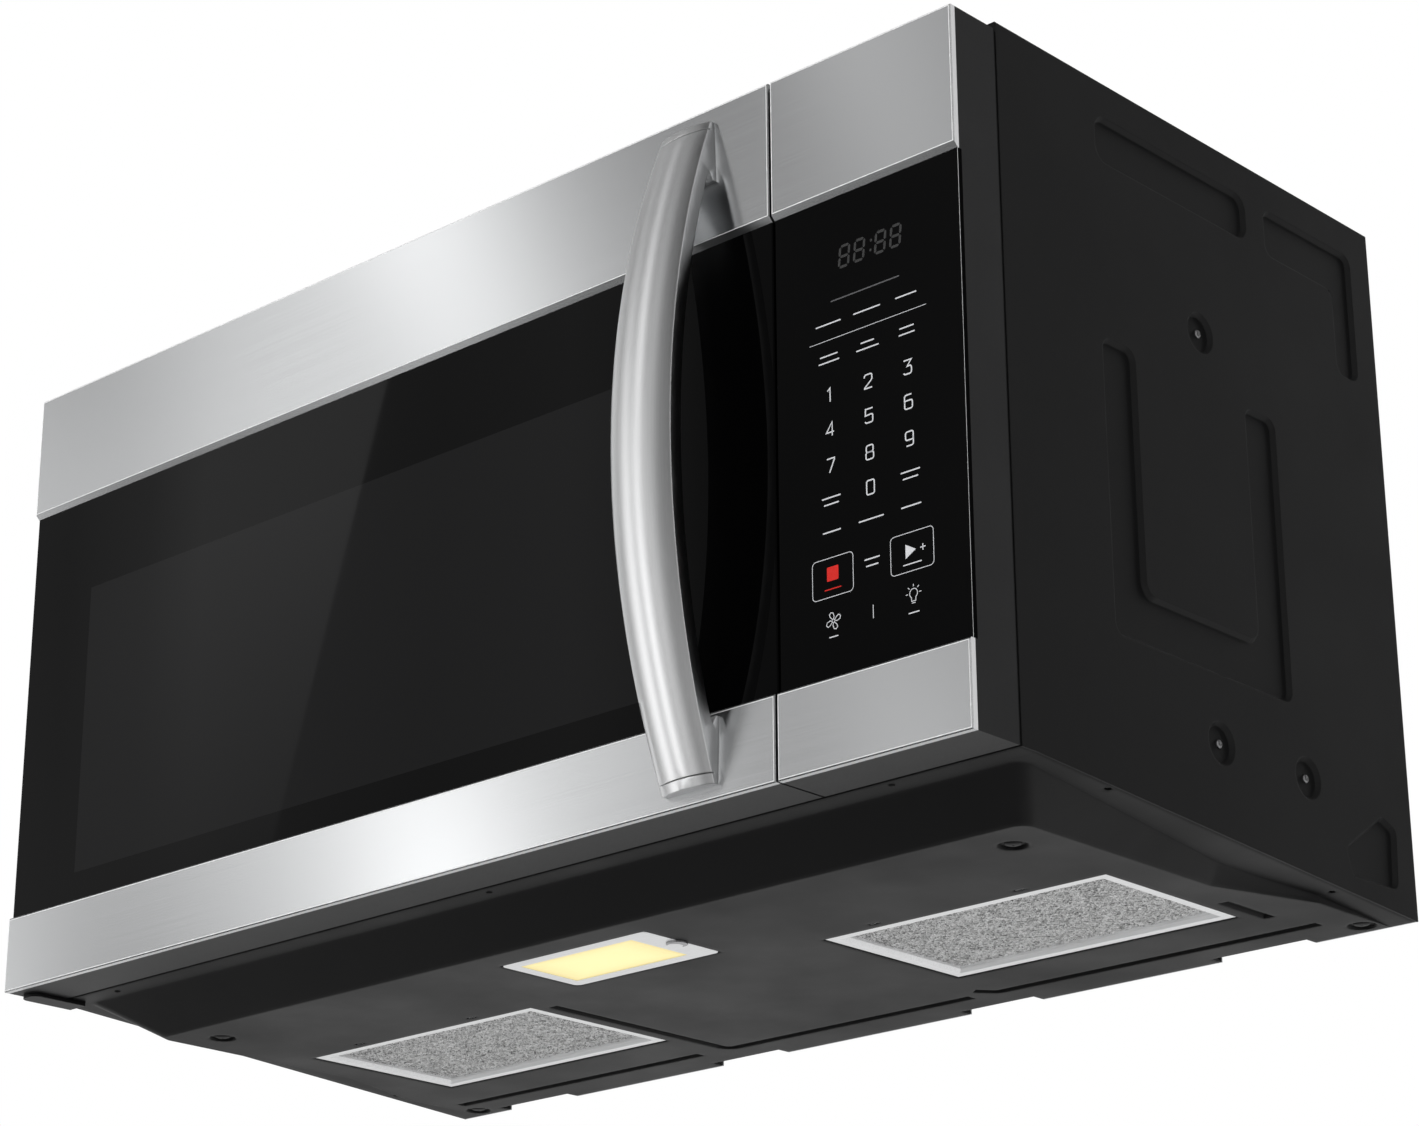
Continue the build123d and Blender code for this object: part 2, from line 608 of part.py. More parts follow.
SHELF_TOP = SHELF_Z + SHEET
CORE_X, CORE_Y = CAVITY_OUT_X[1] + 66.0, PLATE_Y + 120.0
CORE = (96.0, 56.0, 80.0)
CORE_WINDOW = (15.0, 48.0)
CORE_LIMB = 32.0
COIL = (62.0, 84.0, 46.0)
CORE_FOOT = (112.0, 62.0, 2.0)
with BuildPart() as transformer:
    core_base = SHELF_TOP + CORE_FOOT[2]
    with BuildSketch(front_plane(CORE_Y - CORE[1] / 2)):
        area((CORE_X - CORE[0] / 2, CORE_X + CORE[0] / 2), (core_base, core_base + CORE[2]))
        window_shift = (CORE_LIMB + CORE_WINDOW[0]) / 2
        with Locations((CORE_X - window_shift, core_base + CORE[2] / 2)):
            Rectangle(*CORE_WINDOW, mode=Mode.SUBTRACT)
        with Locations((CORE_X + window_shift, core_base + CORE[2] / 2)):
            Rectangle(*CORE_WINDOW, mode=Mode.SUBTRACT)
    extrude(amount=-CORE[1])
    with BuildSketch(Plane.XY.offset(core_base + (CORE[2] - COIL[2]) / 2)) as coil:
        with Locations((CORE_X, CORE_Y)):
            Rectangle(COIL[0], COIL[1])
        fillet(coil.vertices(), radius=COIL[0] / 6)
    extrude(amount=COIL[2])
    with Locations((CORE_X, CORE_Y, SHELF_TOP + CORE_FOOT[2] / 2)):
        Box(*CORE_FOOT)
save(transformer, "transformer")

CAN = (54.0, 34.0, 96.0)
CAN_X, CAN_Y = DIMPLE_INNER - 26.0, PLATE_Y + 62.0
CAN_TERMINAL = (6.0, 1.0, 9.0)
with BuildPart() as capacitor:
    with BuildSketch(Plane.XY.offset(SHELF_TOP)):
        with Locations(Location((CAN_X, CAN_Y), 90)):
            SlotOverall(CAN[0], CAN[1])
    extrude(amount=CAN[2])
    for shift in (-CAN[0] / 5, CAN[0] / 5):
        with Locations((CAN_X, CAN_Y + shift, SHELF_TOP + CAN[2] + CAN_TERMINAL[2] / 2)):
            Box(*CAN_TERMINAL)
save(capacitor, "capacitor")

# ---- Cooling fan: ducted plate, motor on a bridge, five pitched blades ----
FAN_PLATE_X = (CAVITY_OUT_X[1], HALF - 7.5)
FAN_PLATE_Z = (SHELF_TOP, CAVITY_Z[1] - 5.0)
FAN_DUCT = FAN_RADIUS + FAN_DUCT_GAP
FAN_DUCT_LENGTH = 18.0
FAN_MOTOR = (62.0, 18.0, 54.0)
FAN_BRIDGE = (150.0, 16.0, 2.0)
FAN_BRIDGE_Y = FAN_Y + FAN_BRIDGE[1] + 6.0
with BuildPart() as fan_housing:
    with BuildSketch(front_plane(FAN_Y)):
        area(FAN_PLATE_X, FAN_PLATE_Z)
    extrude(amount=-SHEET)
    with BuildSketch(front_plane(FAN_Y)):
        with Locations((FAN_X, FAN_Z)):
            Circle(FAN_DUCT + SCROLL_WALL)
    extrude(amount=FAN_DUCT_LENGTH)
    with BuildSketch(front_plane(FAN_Y + SHEET)):
        with Locations((FAN_X, FAN_Z)):
            Circle(FAN_DUCT)
    extrude(amount=FAN_DUCT_LENGTH + SHEET, mode=Mode.SUBTRACT)
save(fan_housing, "fan_housing")

BRIDGE_X = (FAN_X - FAN_BRIDGE[0] / 2, FAN_X + FAN_BRIDGE[0] / 2)
BRIDGE_Z = (FAN_Z - FAN_BRIDGE[1] / 2, FAN_Z + FAN_BRIDGE[1] / 2)
with BuildPart() as fan_motor:
    block(BRIDGE_X, (FAN_BRIDGE_Y - FAN_BRIDGE[2], FAN_BRIDGE_Y), BRIDGE_Z)
    for leg in ((BRIDGE_X[0], BRIDGE_X[0] + FAN_BRIDGE[2]), (BRIDGE_X[1] - FAN_BRIDGE[2], BRIDGE_X[1])):
        block(leg, (FAN_Y + SHEET, FAN_BRIDGE_Y), BRIDGE_Z)
    with Locations((FAN_X, FAN_BRIDGE_Y + FAN_MOTOR[1] / 2, FAN_Z)):
        Box(*FAN_MOTOR)
    with BuildSketch(front_plane(FAN_BRIDGE_Y + FAN_MOTOR[1])):
        with Locations((FAN_X, FAN_Z)):
            Circle(FAN_SHAFT + PIN_CLEARANCE)
    extrude(amount=FAN_MOTOR[1] + 2 * FAN_BRIDGE[2], mode=Mode.SUBTRACT)
save(fan_motor, "fan_motor")

FAN_HUB = 13.0
FAN_HUB_LENGTH = 14.0
FAN_PITCH = 32.0
BLADE_THICKNESS = 1.5
BLADE_CHORD = 26.0
BLADE_SETBACK = 2.0
BLADE_FRONT = FAN_Y - FAN_DUCT_LENGTH + BLADE_SETBACK
with BuildPart() as fan_blade:
    with BuildSketch(front_plane(BLADE_FRONT)):
        with Locations((FAN_X, FAN_Z)):
            Circle(FAN_HUB)
    extrude(amount=-FAN_HUB_LENGTH)
    hub_middle = (FAN_X, BLADE_FRONT + FAN_HUB_LENGTH / 2, FAN_Z)
    blade_plane = Plane(origin=hub_middle, x_dir=(1, 0, 0), z_dir=(0, -1, 0))
    with Locations(blade_plane):
        with PolarLocations(FAN_RADIUS / 2 + FAN_HUB / 3, FAN_BLADES):
            Box(
                FAN_RADIUS - FAN_HUB,
                BLADE_CHORD,
                BLADE_THICKNESS,
                rotation=(FAN_PITCH, 0, 0),
            )
    with BuildSketch(front_plane(BLADE_FRONT - FAN_HUB_LENGTH)):
        with Locations((FAN_X, FAN_Z)):
            Circle(FAN_RADIUS)
    extrude(amount=-3 * FAN_HUB_LENGTH, mode=Mode.INTERSECT)
    with BuildSketch(front_plane(BLADE_FRONT)):
        with Locations((FAN_X, FAN_Z)):
            Circle(FAN_SHAFT)
    extrude(amount=-(FAN_BRIDGE_Y + FAN_MOTOR[1] - BLADE_FRONT))
save(fan_blade, "fan_blade")

# ---- Blower above the cavity: two scroll housings, a double-ended motor and two wheels ----
CEILING = CAVITY_OUT_Z[1]
BLOWER_BASE_Y = (-138.0, -26.0)
OUTLET_Y = -140.0
BLOWER_BASE_TOP = CEILING + PAN_SHEET
INLET_RADIUS = 30.0
SCROLL_FOOT = 8.0


def scroll(x_span, wall):
    """A scroll-shaped solid round the wheel, with its straight outlet towards the front."""
    radius = SCROLL_RADIUS - wall
    with BuildPart() as form:
        with BuildSketch(side_plane(x_span[0])):
            with Locations((BLOWER_Y, BLOWER_Z)):
                Circle(radius)
            area((OUTLET_Y, BLOWER_Y), (BLOWER_Z, BLOWER_Z + radius))
        extrude(amount=x_span[1] - x_span[0])
    return form.part


with BuildPart() as blower_housing:
    block((-SCROLL_X[1], SCROLL_X[1]), BLOWER_BASE_Y, (CEILING, BLOWER_BASE_TOP))
    for x_span in (SCROLL_X, (-SCROLL_X[1], -SCROLL_X[0])):
        add(scroll(x_span, 0))
        foot_y = (BLOWER_Y - SCROLL_FOOT, BLOWER_Y + SCROLL_FOOT)
        block(x_span, foot_y, (BLOWER_BASE_TOP, BLOWER_Z - SCROLL_RADIUS + 2 * SCROLL_WALL))
    for x_span in (SCROLL_X, (-SCROLL_X[1], -SCROLL_X[0])):
        add(scroll(inset(x_span, SCROLL_WALL), SCROLL_WALL), mode=Mode.SUBTRACT)
    with BuildSketch(side_plane(-WIDTH / 4)):
        with Locations((BLOWER_Y, BLOWER_Z)):
            Circle(INLET_RADIUS)
    extrude(amount=WIDTH / 2, mode=Mode.SUBTRACT)
save(blower_housing, "blower_housing")

CRADLE_WIDTH = 30.0
with BuildPart() as blower_motor:
    with BuildSketch(side_plane(-BLOWER_MOTOR_LENGTH / 2)):
        with Locations((BLOWER_Y, BLOWER_Z)):
            Circle(BLOWER_MOTOR_RADIUS)
    extrude(amount=BLOWER_MOTOR_LENGTH)
    block(
        (-CRADLE_WIDTH / 2, CRADLE_WIDTH / 2),
        (BLOWER_Y - CRADLE_WIDTH, BLOWER_Y + CRADLE_WIDTH),
        (BLOWER_BASE_TOP, BLOWER_Z - BLOWER_MOTOR_RADIUS / 2),
    )
    with BuildSketch(side_plane(-BLOWER_MOTOR_LENGTH)):
        with Locations((BLOWER_Y, BLOWER_Z)):
            Circle(BLOWER_SHAFT + PIN_CLEARANCE)
    extrude(amount=2 * BLOWER_MOTOR_LENGTH, mode=Mode.SUBTRACT)
save(blower_motor, "blower_motor")

WHEEL_X = inset(SCROLL_X, SCROLL_WALL + WHEEL_GAP)
WHEEL_PLATE = 2.0
WHEEL_BLADE = (8.5, 1.2)
WHEEL_ANGLE = 35.0
BLADE_RING = WHEEL_RADIUS - WHEEL_RING / 2
with BuildPart() as blower_wheels:
    for side in (1, -1):
        # a disc at the motor's end and a ring at the inlet's end carry the blades
        inner, outer = side * WHEEL_X[0], side * WHEEL_X[1]
        with BuildSketch(side_plane(inner)):
            with Locations((BLOWER_Y, BLOWER_Z)):
                Circle(WHEEL_RADIUS)
        extrude(amount=side * WHEEL_PLATE)
        with BuildSketch(side_plane(outer)):
            with Locations((BLOWER_Y, BLOWER_Z)):
                Circle(WHEEL_RADIUS)
                Circle(WHEEL_RADIUS - WHEEL_RING, mode=Mode.SUBTRACT)
        extrude(amount=-side * WHEEL_PLATE)
        with BuildSketch(side_plane(inner + side * WHEEL_PLATE)):
            with Locations((BLOWER_Y, BLOWER_Z)):
                with PolarLocations(BLADE_RING, WHEEL_BLADES):
                    Rectangle(*WHEEL_BLADE, rotation=WHEEL_ANGLE)
        extrude(amount=side * (WHEEL_X[1] - WHEEL_X[0] - 2 * WHEEL_PLATE))
    with BuildSketch(side_plane(-WHEEL_X[0])):
        with Locations((BLOWER_Y, BLOWER_Z)):
            Circle(BLOWER_SHAFT)
    extrude(amount=2 * WHEEL_X[0])
save(blower_wheels, "blower_wheels")

# ---- Exhaust grille in the top, charcoal filter behind it ----
GRILLE_LEDGE = 4.0
GRILLE_THICKNESS = 3.0
GRILLE_CURTAIN = 10.0
GRILLE_SLOTS = int((2 * GRILLE_X - GRILLE_SLOT[0]) // GRILLE_PITCH)
with BuildPart() as vent_grille:
    block((-GRILLE_X, GRILLE_X), GRILLE_Y, (TOP_INNER - GRILLE_THICKNESS, CASE_TOP))
    block(
        (-GRILLE_X - GRILLE_LEDGE, GRILLE_X + GRILLE_LEDGE),
        (GRILLE_Y[0] - GRILLE_LEDGE, GRILLE_Y[1] + GRILLE_LEDGE),
        (TOP_INNER - GRILLE_THICKNESS, TOP_INNER),
    )
    block(
        (-GRILLE_X, GRILLE_X),
        (GRILLE_Y[1] - GRILLE_THICKNESS, GRILLE_Y[1]),
        (TOP_INNER - GRILLE_THICKNESS - GRILLE_CURTAIN, TOP_INNER),
    )
    with BuildSketch(Plane.XY.offset(CASE_TOP)):
        with Locations((0, sum(GRILLE_Y) / 2)):
            with GridLocations(GRILLE_PITCH, 0, GRILLE_SLOTS, 1):
                Rectangle(*GRILLE_SLOT)
    extrude(amount=-2 * GRILLE_THICKNESS, mode=Mode.SUBTRACT)
save(vent_grille, "vent_grille")

CHARCOAL_X = (-200.0, 200.0)
CHARCOAL_Y = (PLATE_Y + 34.0, PLATE_Y + 48.0)
CHARCOAL_TOP = TOP_INNER - GRILLE_THICKNESS - GRILLE_CURTAIN - 4.0
CHARCOAL_BORDER = 7.0
CHARCOAL_WINDOW = 3
with BuildPart() as charcoal_filter:
    block(CHARCOAL_X, CHARCOAL_Y, (CEILING, CHARCOAL_TOP))
    span = CHARCOAL_X[1] - CHARCOAL_X[0]
    cell = (span - CHARCOAL_BORDER) / CHARCOAL_WINDOW
    with BuildSketch(front_plane(CHARCOAL_Y[0])):
        with Locations((sum(CHARCOAL_X) / 2, (CEILING + CHARCOAL_TOP) / 2)):
            with GridLocations(cell, 0, CHARCOAL_WINDOW, 1):
                Rectangle(cell - CHARCOAL_BORDER, CHARCOAL_TOP - CEILING - 2 * CHARCOAL_BORDER)
    extrude(amount=-CHARCOAL_BORDER / 3, mode=Mode.SUBTRACT)
save(charcoal_filter, "charcoal_filter")

BUSHING_FLANGE = 5.0
BUSHING_WALL = 3.0
BUSHING_DROP = 10.0
with BuildPart() as cord_bushing:
    with BuildSketch(Plane.XY.offset(TOP_INNER - BUSHING_DROP)):
        with Locations(CORD_HOLE):
            Circle(CORD_HOLE_RADIUS - FIT / 2)
    extrude(amount=BUSHING_DROP + SHEET)
    with BuildSketch(Plane.XY.offset(TOP_INNER - BUSHING_WALL)):
        with Locations(CORD_HOLE):
            Rectangle(2 * (CORD_HOLE_RADIUS + BUSHING_FLANGE), 2 * (CORD_HOLE_RADIUS + BUSHING_FLANGE))
    extrude(amount=BUSHING_WALL)
    with BuildSketch(Plane.XY.offset(CASE_TOP)):
        with Locations(CORD_HOLE):
            Circle(CORD_HOLE_RADIUS - BUSHING_WALL)
    extrude(amount=-(BUSHING_DROP + SHEET), mode=Mode.SUBTRACT)
save(cord_bushing, "cord_bushing")

# ---- Turntable drive, roller ring and glass tray ----
FLOOR_UNDER = CAVITY_OUT_Z[0]
FLOOR_TOP = CAVITY_Z[0]
ROLLER_Z = FLOOR_TOP + RUN_GAP + ROLLER_RADIUS
TRAY_Z = ROLLER_Z + ROLLER_RADIUS + RUN_GAP
EAR = (12.0, 84.0, 1.2)
with BuildPart() as turntable_motor:
    with BuildSketch(Plane.XY.offset(FLOOR_UNDER - TURN_MOTOR_HEIGHT)):
        with Locations((TURN_X, TURN_Y)):
            Circle(TURN_MOTOR_RADIUS)
    extrude(amount=TURN_MOTOR_HEIGHT)
    with Locations((TURN_X, TURN_Y, FLOOR_UNDER - EAR[2] / 2)):
        Box(EAR[1], EAR[0], EAR[2])
    with BuildSketch(Plane.XY.offset(FLOOR_UNDER)):
        with Locations((TURN_X, TURN_Y)):
            Circle(SHAFT_RADIUS + PIN_CLEARANCE)
    extrude(amount=-TURN_MOTOR_HEIGHT + SHEET, mode=Mode.SUBTRACT)
save(turntable_motor, "turntable_motor")

COUPLER_Z = FLOOR_TOP + SLOT_CLEARANCE
COUPLER_TOP = TRAY_Z - RUN_GAP
with BuildPart() as turntable_shaft:
    with BuildSketch(Plane.XY.offset(FLOOR_UNDER - TURN_MOTOR_HEIGHT + SLOT_CLEARANCE)):
        with Locations((TURN_X, TURN_Y)):
            Circle(SHAFT_RADIUS)
    extrude(amount=COUPLER_TOP - COUPLER_HEIGHT / 3 - (FLOOR_UNDER - TURN_MOTOR_HEIGHT + SLOT_CLEARANCE))
save(turntable_shaft, "turntable_shaft")

with BuildPart() as turntable_coupler:
    with BuildSketch(Plane.XY.offset(COUPLER_Z)):
        with Locations((TURN_X, TURN_Y)):
            Circle(COUPLER_HUB)
    extrude(amount=COUPLER_TOP - COUPLER_Z)
    with BuildSketch(Plane.XY.offset(COUPLER_TOP - COUPLER_HEIGHT)):
        with Locations((TURN_X, TURN_Y)):
            with PolarLocations(COUPLER_REACH / 2, 3, start_angle=90):
                Rectangle(COUPLER_REACH, COUPLER_ARM)
    extrude(amount=COUPLER_HEIGHT)
    with BuildSketch(Plane.XY.offset(COUPLER_Z)):
        with Locations((TURN_X, TURN_Y)):
            Circle(SHAFT_RADIUS + PIN_CLEARANCE)
    extrude(amount=COUPLER_TOP - COUPLER_HEIGHT / 3 - COUPLER_Z, mode=Mode.SUBTRACT)
save(turntable_coupler, "turntable_coupler")

TRAY_SLOPE = 12.0
LUG_LENGTH = 6.0
LUG_RADIUS = 16.5
with BuildPart() as turntable_tray:
    with BuildSketch(Plane.XZ.offset(-TURN_Y)):
        with BuildLine():
            Polyline(
                (TURN_X, TRAY_Z),
                (TURN_X + TRAY_RADIUS - TRAY_SLOPE, TRAY_Z),
                (TURN_X + TRAY_RADIUS, TRAY_Z + TRAY_RIM - TRAY_THICKNESS / 2),
                (TURN_X + TRAY_RADIUS, TRAY_Z + TRAY_RIM),
                (TURN_X + TRAY_RADIUS - TRAY_THICKNESS, TRAY_Z + TRAY_RIM),
                (TURN_X + TRAY_RADIUS - TRAY_SLOPE - TRAY_THICKNESS / 2, TRAY_Z + TRAY_THICKNESS),
                (TURN_X, TRAY_Z + TRAY_THICKNESS),
                close=True,
            )
        make_face()
    revolve(axis=Axis((TURN_X, TURN_Y, 0), (0, 0, 1)))
    with BuildSketch(Plane.XY.offset(TRAY_Z)):
        with Locations((TURN_X, TURN_Y)):
            with PolarLocations(LUG_RADIUS, 3, start_angle=30):
                Rectangle(COUPLER_ARM, LUG_LENGTH)
    extrude(amount=-LUG_LENGTH)
save(turntable_tray, "turntable_tray")

RING_OUT = TRACK_RADIUS - ROLLER_WIDTH / 2 - RUN_GAP
AXLE_END = TRACK_RADIUS + ROLLER_WIDTH / 2 + RUN_GAP
RING_ANGLES = (90.0, 210.0, 330.0)
with BuildPart() as roller_ring:
    with BuildSketch(Plane.XY.offset(ROLLER_Z - RING_HEIGHT / 2)):
        with Locations((TURN_X, TURN_Y)):
            Circle(RING_OUT)
            Circle(RING_OUT - RING_WIDTH, mode=Mode.SUBTRACT)
    extrude(amount=RING_HEIGHT)
    for angle in RING_ANGLES:
        direction = (math.cos(math.radians(angle)), math.sin(math.radians(angle)), 0)
        start = RING_OUT - RING_WIDTH / 2
        foot = (TURN_X + direction[0] * start, TURN_Y + direction[1] * start, ROLLER_Z)
        with BuildSketch(Plane(origin=foot, z_dir=direction)):
            Circle(AXLE_RADIUS)
        extrude(amount=AXLE_END - start)
save(roller_ring, "roller_ring")

for number, angle in enumerate(RING_ANGLES, start=1):
    direction = (math.cos(math.radians(angle)), math.sin(math.radians(angle)), 0)
    start = TRACK_RADIUS - ROLLER_WIDTH / 2
    foot = (TURN_X + direction[0] * start, TURN_Y + direction[1] * start, ROLLER_Z)
    with BuildPart() as roller:
        with BuildSketch(Plane(origin=foot, z_dir=direction)):
            Circle(ROLLER_RADIUS)
            Circle(AXLE_RADIUS + AXLE_CLEARANCE, mode=Mode.SUBTRACT)
        extrude(amount=ROLLER_WIDTH)
    save(roller, f"roller_{number}")

# ---- Cavity lamp on the right wall ----
BULB_BOX = (26.0, 40.0, 34.0)
with BuildPart() as cavity_lamp:
    lamp_centre = (CAVITY_OUT_X[1] + BULB_BOX[0] / 2, LAMP_SLOTS_Y, LAMP_SLOTS_Z)
    with Locations(lamp_centre):
        Box(*BULB_BOX)
    offset(amount=-SHEET, openings=cavity_lamp.faces().sort_by(Axis.X)[0])
    with BuildSketch(side_plane(CAVITY_OUT_X[1] + BULB_BOX[0])):
        with Locations((LAMP_SLOTS_Y, LAMP_SLOTS_Z)):
            Circle(BULB_BOX[1] / 5)
    extrude(amount=-BULB_BOX[0] * 0.7)
save(cavity_lamp, "cavity_lamp")


# ---- Stainless bands: folded caps with a bevel towards the glass ----
def band(x_span, z_span, low_bevel, high_bevel, holes=()):
    """A hollow cap, open at the back, bevelled where it meets the glass."""
    with BuildPart() as cap:
        with BuildSketch(front_plane(FACE_Y)):
            area(x_span, z_span)
        extrude(amount=-BAND_DEPTH)
        wall = (BAND_WALL + low_bevel, BAND_WALL + high_bevel)
        with BuildSketch(front_plane(FACE_Y + BAND_WALL)):
            area(inset(x_span, BAND_WALL), inset(z_span, *wall))
        extrude(amount=-BAND_DEPTH, mode=Mode.SUBTRACT)
        face_edges = cap.faces().sort_by(Axis.Y)[0].edges()
        low, high = face_edges.filter_by(Axis.X).sort_by(Axis.Z)
        chamfer(low, length=low_bevel or BAND_EDGE)
        chamfer(high, length=high_bevel or BAND_EDGE)
        side_edges = cap.faces().sort_by(Axis.Y)[0].edges().filter_by(Axis.Z)
        chamfer(side_edges, length=BAND_EDGE)
        if holes:
            with BuildSketch(front_plane(FACE_Y)):
                with Locations(*holes):
                    Circle(HANDLE_SCREW_RADIUS + HANDLE_SCREW_GAP)
            extrude(amount=-BAND_DEPTH, mode=Mode.SUBTRACT)
    return cap


TOP_SCREW = (HANDLE_X, HANDLE_TOP - HANDLE_FOOT / 2)
BOTTOM_SCREW = (HANDLE_X, HANDLE_BOTTOM + HANDLE_FOOT / 2)
door_top_band = band(DOOR_X, TOP_BAND_Z, TOP_BEVEL, 0, [TOP_SCREW])
door_bottom_band = band(DOOR_X, BOTTOM_BAND_Z, 0, BOTTOM_BEVEL, [BOTTOM_SCREW])
panel_top_band = band(PANEL_X, TOP_BAND_Z, TOP_BEVEL, 0)
panel_bottom_band = band(PANEL_X, BOTTOM_BAND_Z, 0, BOTTOM_BEVEL)
save(door_top_band, "door_top_band")
save(door_bottom_band, "door_bottom_band")
save(panel_top_band, "panel_top_band")
save(panel_bottom_band, "panel_bottom_band")


def carrier(x_span):
    """The moulded body behind one front: wall behind the glass, skirt, and pads in the bands."""
    with BuildPart() as body:
        with BuildSketch(front_plane(GLASS_BACK)):
            area(x_span, FACE_Z)
        extrude(amount=-(DOOR_BACK - GLASS_BACK))
        with BuildSketch(front_plane(DOOR_BACK)):
            area(inset(x_span, SKIRT), inset(FACE_Z, SKIRT))
        extrude(amount=DOOR_BACK - FLANGE_BACK, mode=Mode.SUBTRACT)
        seats = ((TOP_BAND_Z, TOP_BEVEL, 0), (BOTTOM_BAND_Z, 0, BOTTOM_BEVEL))
        for z_span, low_bevel, high_bevel in seats:
            with BuildSketch(front_plane(GLASS_BACK)):
                area(x_span, z_span)
            extrude(amount=GLASS_BACK - FACE_Y - BAND_DEPTH)
            wall = (BAND_WALL + low_bevel + FIT, BAND_WALL + high_bevel + FIT)
            with BuildSketch(front_plane(FACE_Y + BAND_DEPTH)):
                area(inset(x_span, BAND_WALL + FIT), inset(z_span, *wall))
            extrude(amount=BAND_DEPTH - BAND_WALL - FIT)
    return body.part


# ---- Door: carrier, bands, glass, steel choke plate, screen, pane, back cover ----
WINDOW_X = inset(CAVITY_X, WINDOW_MARGIN_X)
BOSS_REACH = 8.0
BOSS_HEIGHT = PIN_LENGTH + 2.0
BOSS_Z = (FACE_BOTTOM, FACE_BOTTOM + BOSS_HEIGHT)
TOP_BOSS_Z = (FACE_TOP - BOSS_HEIGHT, FACE_TOP)
CARRIER_WINDOW = 6.0
with BuildPart() as door_frame:
    add(carrier(DOOR_X))
    # window aperture behind the glass
    with BuildSketch(front_plane(GLASS_BACK)):
        area(inset(WINDOW_X, -CARRIER_WINDOW), inset(WINDOW_Z, -CARRIER_WINDOW))
    extrude(amount=-FLANGE, mode=Mode.SUBTRACT)
    # pivot blocks in the hinge corners
    boss_x = (DOOR_X[0], HINGE_X + BOSS_REACH)
    boss_y = (HINGE_Y - BOSS_REACH, HINGE_Y + BOSS_REACH)
    for boss_z in (BOSS_Z, TOP_BOSS_Z):
        block(boss_x, boss_y, boss_z)
    with BuildSketch(Plane.XY.offset(FACE_BOTTOM)):
        with Locations((HINGE_X, HINGE_Y)):
            Circle(PIN_RADIUS + PIN_CLEARANCE)
    extrude(amount=PIN_LENGTH + LEAF_GAP, mode=Mode.SUBTRACT)
    with BuildSketch(Plane.XY.offset(FACE_TOP)):
        with Locations((HINGE_X, HINGE_Y)):
            Circle(PIN_RADIUS + PIN_CLEARANCE)
    extrude(amount=-(PIN_LENGTH + LEAF_GAP), mode=Mode.SUBTRACT)
    # screw holes for the handle
    with BuildSketch(front_plane(FACE_Y)):
        with Locations(TOP_SCREW, BOTTOM_SCREW):
            Circle(HANDLE_SCREW_RADIUS + HANDLE_SCREW_GAP)
    extrude(amount=-(FLANGE_BACK - FACE_Y), mode=Mode.SUBTRACT)
    rear_edge = door_frame.edges().filter_by(Axis.Z).group_by(Axis.Y)[-1].sort_by(Axis.X)[0]
    fillet(rear_edge, radius=CORNER_ROUND)
save(door_frame, "door_frame")

with BuildPart() as door_glass:
    with BuildSketch(front_plane(GLASS_Y)):
        area(DOOR_X, inset(GLASS_Z, FIT / 2))
    extrude(amount=-GLASS_THICKNESS)
    chamfer(door_glass.faces().sort_by(Axis.Y)[0].edges().filter_by(Axis.Z), length=BAND_EDGE)
save(door_glass, "door_glass")

CHOKE_IN_X = inset(CAVITY_X, CHOKE_OVERLAP)
CHOKE_IN_Z = inset(CAVITY_Z, CHOKE_OVERLAP)
CHOKE_OUT_X = inset(CHOKE_IN_X, -CHOKE_WIDTH)
CHOKE_OUT_Z = inset(CHOKE_IN_Z, -CHOKE_WIDTH)
PLATE_BACK = FLANGE_BACK + SHEET
COVER_FRONT = DOOR_BACK - COVER_THICKNESS
COVER_LAND = COVER_FRONT - SHEET
PLATE_INSET = SKIRT + FIT
with BuildPart() as door_plate:
    with BuildSketch(front_plane(FLANGE_BACK)):
        area(inset(DOOR_X, PLATE_INSET), inset(FACE_Z, PLATE_INSET))
        area(WINDOW_X, WINDOW_Z, mode=Mode.SUBTRACT)
        with Locations(TOP_SCREW, BOTTOM_SCREW):
            Circle(HANDLE_SCREW_RADIUS + HANDLE_SCREW_GAP, mode=Mode.SUBTRACT)
    extrude(amount=-SHEET)
    # choke: outer and inner walls behind the plate, and the lip that narrows the channel
    for x_span, z_span in ((CHOKE_OUT_X, CHOKE_OUT_Z), (CHOKE_IN_X, CHOKE_IN_Z)):
        with BuildSketch(front_plane(FLANGE_BACK)):
            area(x_span, z_span)
            area(inset(x_span, SHEET), inset(z_span, SHEET), mode=Mode.SUBTRACT)
        extrude(amount=-(COVER_FRONT - FLANGE_BACK))
    with BuildSketch(front_plane(COVER_LAND)):
        area(inset(CHOKE_IN_X, -CHOKE_LIP), inset(CHOKE_IN_Z, -CHOKE_LIP))
        area(CHOKE_IN_X, CHOKE_IN_Z, mode=Mode.SUBTRACT)
    extrude(amount=-SHEET)
save(door_plate, "door_plate")

with BuildPart() as door_screen:
    with BuildSketch(front_plane(PLATE_BACK)):
        area(inset(WINDOW_X, -SCREEN_LAP), inset(WINDOW_Z, -SCREEN_LAP))
    extrude(amount=-SCREEN_THICKNESS)
save(door_screen, "door_screen")

with BuildPart() as inner_window:
    with BuildSketch(front_plane(COVER_FRONT - PANE_THICKNESS)):
        area(inset(CHOKE_IN_X, SHEET + FIT), inset(CHOKE_IN_Z, SHEET + FIT))
    extrude(amount=-PANE_THICKNESS)
save(inner_window, "inner_window")

